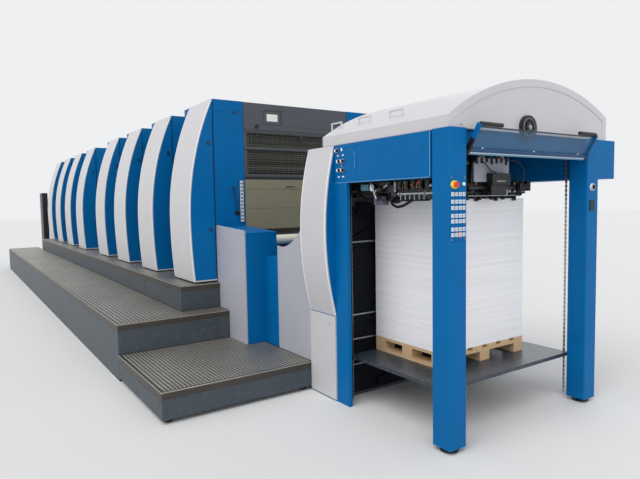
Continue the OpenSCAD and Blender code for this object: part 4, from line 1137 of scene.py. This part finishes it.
# Paper
def paper_stack(name, x0, x1, y0, y1, z0, z1, count, body, node_name):
    """A stack in layers whose edges lie up to 1.7 mm back, apart from the end layers."""
    s = Shape()
    z = z0
    for k in range(count):
        top = z0 + (z1 - z0) * (k + 1) / count
        a, b, c, d = (RNG.uniform(0.1, 1.7) for _ in range(4))
        if k in (0, count - 1):
            a = b = c = d = 0.05
        s.box(x0 + a, x1 - b, y0 + c, y1 - d, z, top)
        z = top
    s.done(name, PAPER, body=body, smooth=False, replaces=(node_name,))


paper_stack("pile_sheets", PILE_X - PILE_L, PILE_X, PILE_MID - PILE_W / 2, PILE_MID + PILE_W / 2,
            PILE_Z, PILE_TOP, 96, "pile", "paper_pile")
FEEDER_PILE_X = -14117.0
paper_stack("feeder_sheets", FEEDER_PILE_X, FEEDER_PILE_X + PILE_L, -PILE_W / 2, PILE_W / 2,
            260, 1250, 90, "press", "feeder_pile")

# Feeder


@piece(RUBBER)
def suction_hoses(s):
    for x in (-14090, -14030, -13970, -13910):
        for y in (-190, 190):
            s.tube([(x, y, 1590), (x, y * 1.05, 1660), (x + 30, y * 1.3, 1690),
                    (x + 60, y * 1.7, 1670), (x + 70, y * 2.0, 1630)], 12)
    s.box(-14100, -13860, -60, 60, 1638, 1668, r=6)
    s.box(-14186, -14180, -150, 150, 1450, 1560, r=2)


@piece(STEEL)
def suction_gear(s):
    s.box(-13756, -13752, -240, 240, 1440, 1540, r=2)
    for y in (-220, -110, 0, 110, 220):
        s.rod((-13790, y, 1385), (-13790, y, 1432), 14)
        s.rod((-13790, y, 1375), (-13790, y, 1386), 30, r=3)


BOARD_REAR, BOARD_FRONT = -13110.0, LINE_REAR
BELTS = (-420, -210, 0, 210, 420)


@piece(RUBBER)
def feed_belts(s):
    rear, front = BOARD_REAR + 10, BOARD_FRONT - 10
    for y in BELTS:
        s.prism([(rear, 1250.5), (front, 1080.5), (front, 1083.5), (rear, 1253.5)], "y", y - 30,
                y + 30)


@piece(STEEL)
def feed_rollers(s):
    for t in (0.2, 0.35, 0.65, 0.8):
        x, z = BOARD_REAR + (BOARD_FRONT - BOARD_REAR) * t, 1250 - 170 * t
        s.rod((x, 2 - HALF_W, z + 70), (x, HALF_W - 2, z + 70), 18)
        for y in BELTS:
            s.ring((x + 22, y, z + 24), (0, 1, 0), 40, 14, 18)
            s.box(x - 4, x + 26, y + 10, y + 14, z + 20, z + 74, r=1)


@piece(BLUE)
def feeder_panels(s):
    for side in (-1, 1):
        y0, y1 = span(side, HALF_W, HALF_W + 1.8)
        s.box(-14500, -14376, y0, y1, 20, 1590, r=0.9)
        s.box(-13254, -13130, y0, y1, 20, 1590, r=0.9)
        s.box(-14450, -13180, y0, y1, 1612, 1838, r=0.9)


@piece(PLASTIC)
def feeder_controls(s):
    s.box(-13240, -13150, -HALF_W - 8, -HALF_W - 1, 1180, 1480, r=3)
    for k in range(12):
        s.rod((-13222 + (k % 3) * 26, -HALF_W - 8, 1210 + (k // 3) * 34),
              (-13222 + (k % 3) * 26, -HALF_W - 12, 1210 + (k // 3) * 34), 16, seg=16, r=1)


@piece(SCREEN)
def feeder_display(s):
    s.box(-13226, -13164, -HALF_W - 9, -HALF_W - 7.5, 1370, 1460, r=1)


# Floor, light and camera
FLOOR_HALF = 60.0


def pale_floor():
    floor = bpy.data.objects.new("floor", bpy.data.meshes.new("floor"))
    corners = [(x * FLOOR_HALF, y * FLOOR_HALF, 0) for x, y in ((-1, -1), (1, -1), (1, 1), (-1, 1))]
    floor.data.from_pydata(corners, [], [(0, 1, 2, 3)])
    bpy.context.scene.collection.objects.link(floor)
    paint = bpy.data.materials.new("floor_pale")
    paint.use_nodes = True
    shader = paint.node_tree.nodes["Principled BSDF"]
    shader.inputs["Base Color"].default_value = (0.66, 0.66, 0.66, 1)
    shader.inputs["Roughness"].default_value = 0.9
    floor.data.materials.append(paint)


def studio_world():
    """A soft light from all round, with a pale backdrop for camera, glossy and clear rays."""
    world = bpy.data.worlds.new("studio")
    bpy.context.scene.world = world
    world.use_nodes = True
    tree = world.node_tree
    lit = tree.nodes["Background"]
    lit.inputs["Color"].default_value = (0.9, 0.92, 0.95, 1)
    lit.inputs["Strength"].default_value = 0.6
    seen = node(tree, "ShaderNodeBackground", Color=(0.86, 0.87, 0.88, 1))
    path = node(tree, "ShaderNodeLightPath")
    either = node(tree, "ShaderNodeMath", operation="MAXIMUM")
    all_three = node(tree, "ShaderNodeMath", operation="MAXIMUM")
    tree.links.new(path.outputs["Is Camera Ray"], either.inputs[0])
    tree.links.new(path.outputs["Is Transmission Ray"], either.inputs[1])
    tree.links.new(either.outputs[0], all_three.inputs[0])
    tree.links.new(path.outputs["Is Glossy Ray"], all_three.inputs[1])
    pick = node(tree, "ShaderNodeMixShader")
    tree.links.new(all_three.outputs[0], pick.inputs[0])
    tree.links.new(lit.outputs[0], pick.inputs[1])
    tree.links.new(seen.outputs[0], pick.inputs[2])
    tree.links.new(pick.outputs[0], tree.nodes["World Output"].inputs["Surface"])


def soft_sun(name, energy, spread, direction, colour=(1, 1, 1)):
    """A sun whose light comes from spread degrees of the sky."""
    data = bpy.data.lights.new(name, "SUN")
    data.energy = energy
    data.angle = math.radians(spread)
    data.color = colour
    o = bpy.data.objects.new(name, data)
    bpy.context.scene.collection.objects.link(o)
    o.location = Vector(direction) * -12
    o.rotation_euler = Vector(direction).to_track_quat("-Z", "Y").to_euler()


pale_floor()
studio_world()
soft_sun("top_light", 1.65, 50, (-0.3, 0.62, -1.0), (1.0, 0.99, 0.97))
soft_sun("front_light", 0.75, 60, (-1.0, 0.12, -0.42))
soft_sun("side_light", 0.35, 60, (0.1, 1.0, -0.4))
soft_sun("back_light", 0.5, 60, (0.25, -1.0, -0.55))

# The camera as solved from the photo, in metres from the operator post's outer corner and degrees
CAMERA_X, CAMERA_Y, CAMERA_Z = 2.1066, -2.2938, 1.4768
CAMERA_YAW, CAMERA_PITCH, CAMERA_ROLL = 56.0207, 3.9657, -0.9847
CAMERA_LENS = 30.6139


def photo_camera():
    camera = bpy.data.cameras.new("camera")
    camera.lens = CAMERA_LENS
    camera.sensor_width = 36.0
    holder = bpy.data.objects.new("camera", camera)
    bpy.context.scene.collection.objects.link(holder)
    yaw, pitch, roll = (math.radians(a) for a in (CAMERA_YAW, CAMERA_PITCH, CAMERA_ROLL))
    ahead = Vector((-math.sin(yaw) * math.cos(pitch), math.cos(yaw) * math.cos(pitch),
                    -math.sin(pitch)))
    level = Vector((math.cos(yaw), math.sin(yaw), 0.0))
    upright = level.cross(ahead)
    right = level * math.cos(roll) + upright * math.sin(roll)
    up = upright * math.cos(roll) - level * math.sin(roll)
    turn = Matrix(((right.x, up.x, -ahead.x), (right.y, up.y, -ahead.y), (right.z, up.z, -ahead.z)))
    place = Matrix.Translation((CAMERA_X + SHIFT, CAMERA_Y - HALF_W / 1000, CAMERA_Z))
    holder.matrix_world = place @ turn.to_4x4()
    bpy.context.scene.camera = holder


photo_camera()
bpy.context.scene.view_settings.view_transform = "Standard"
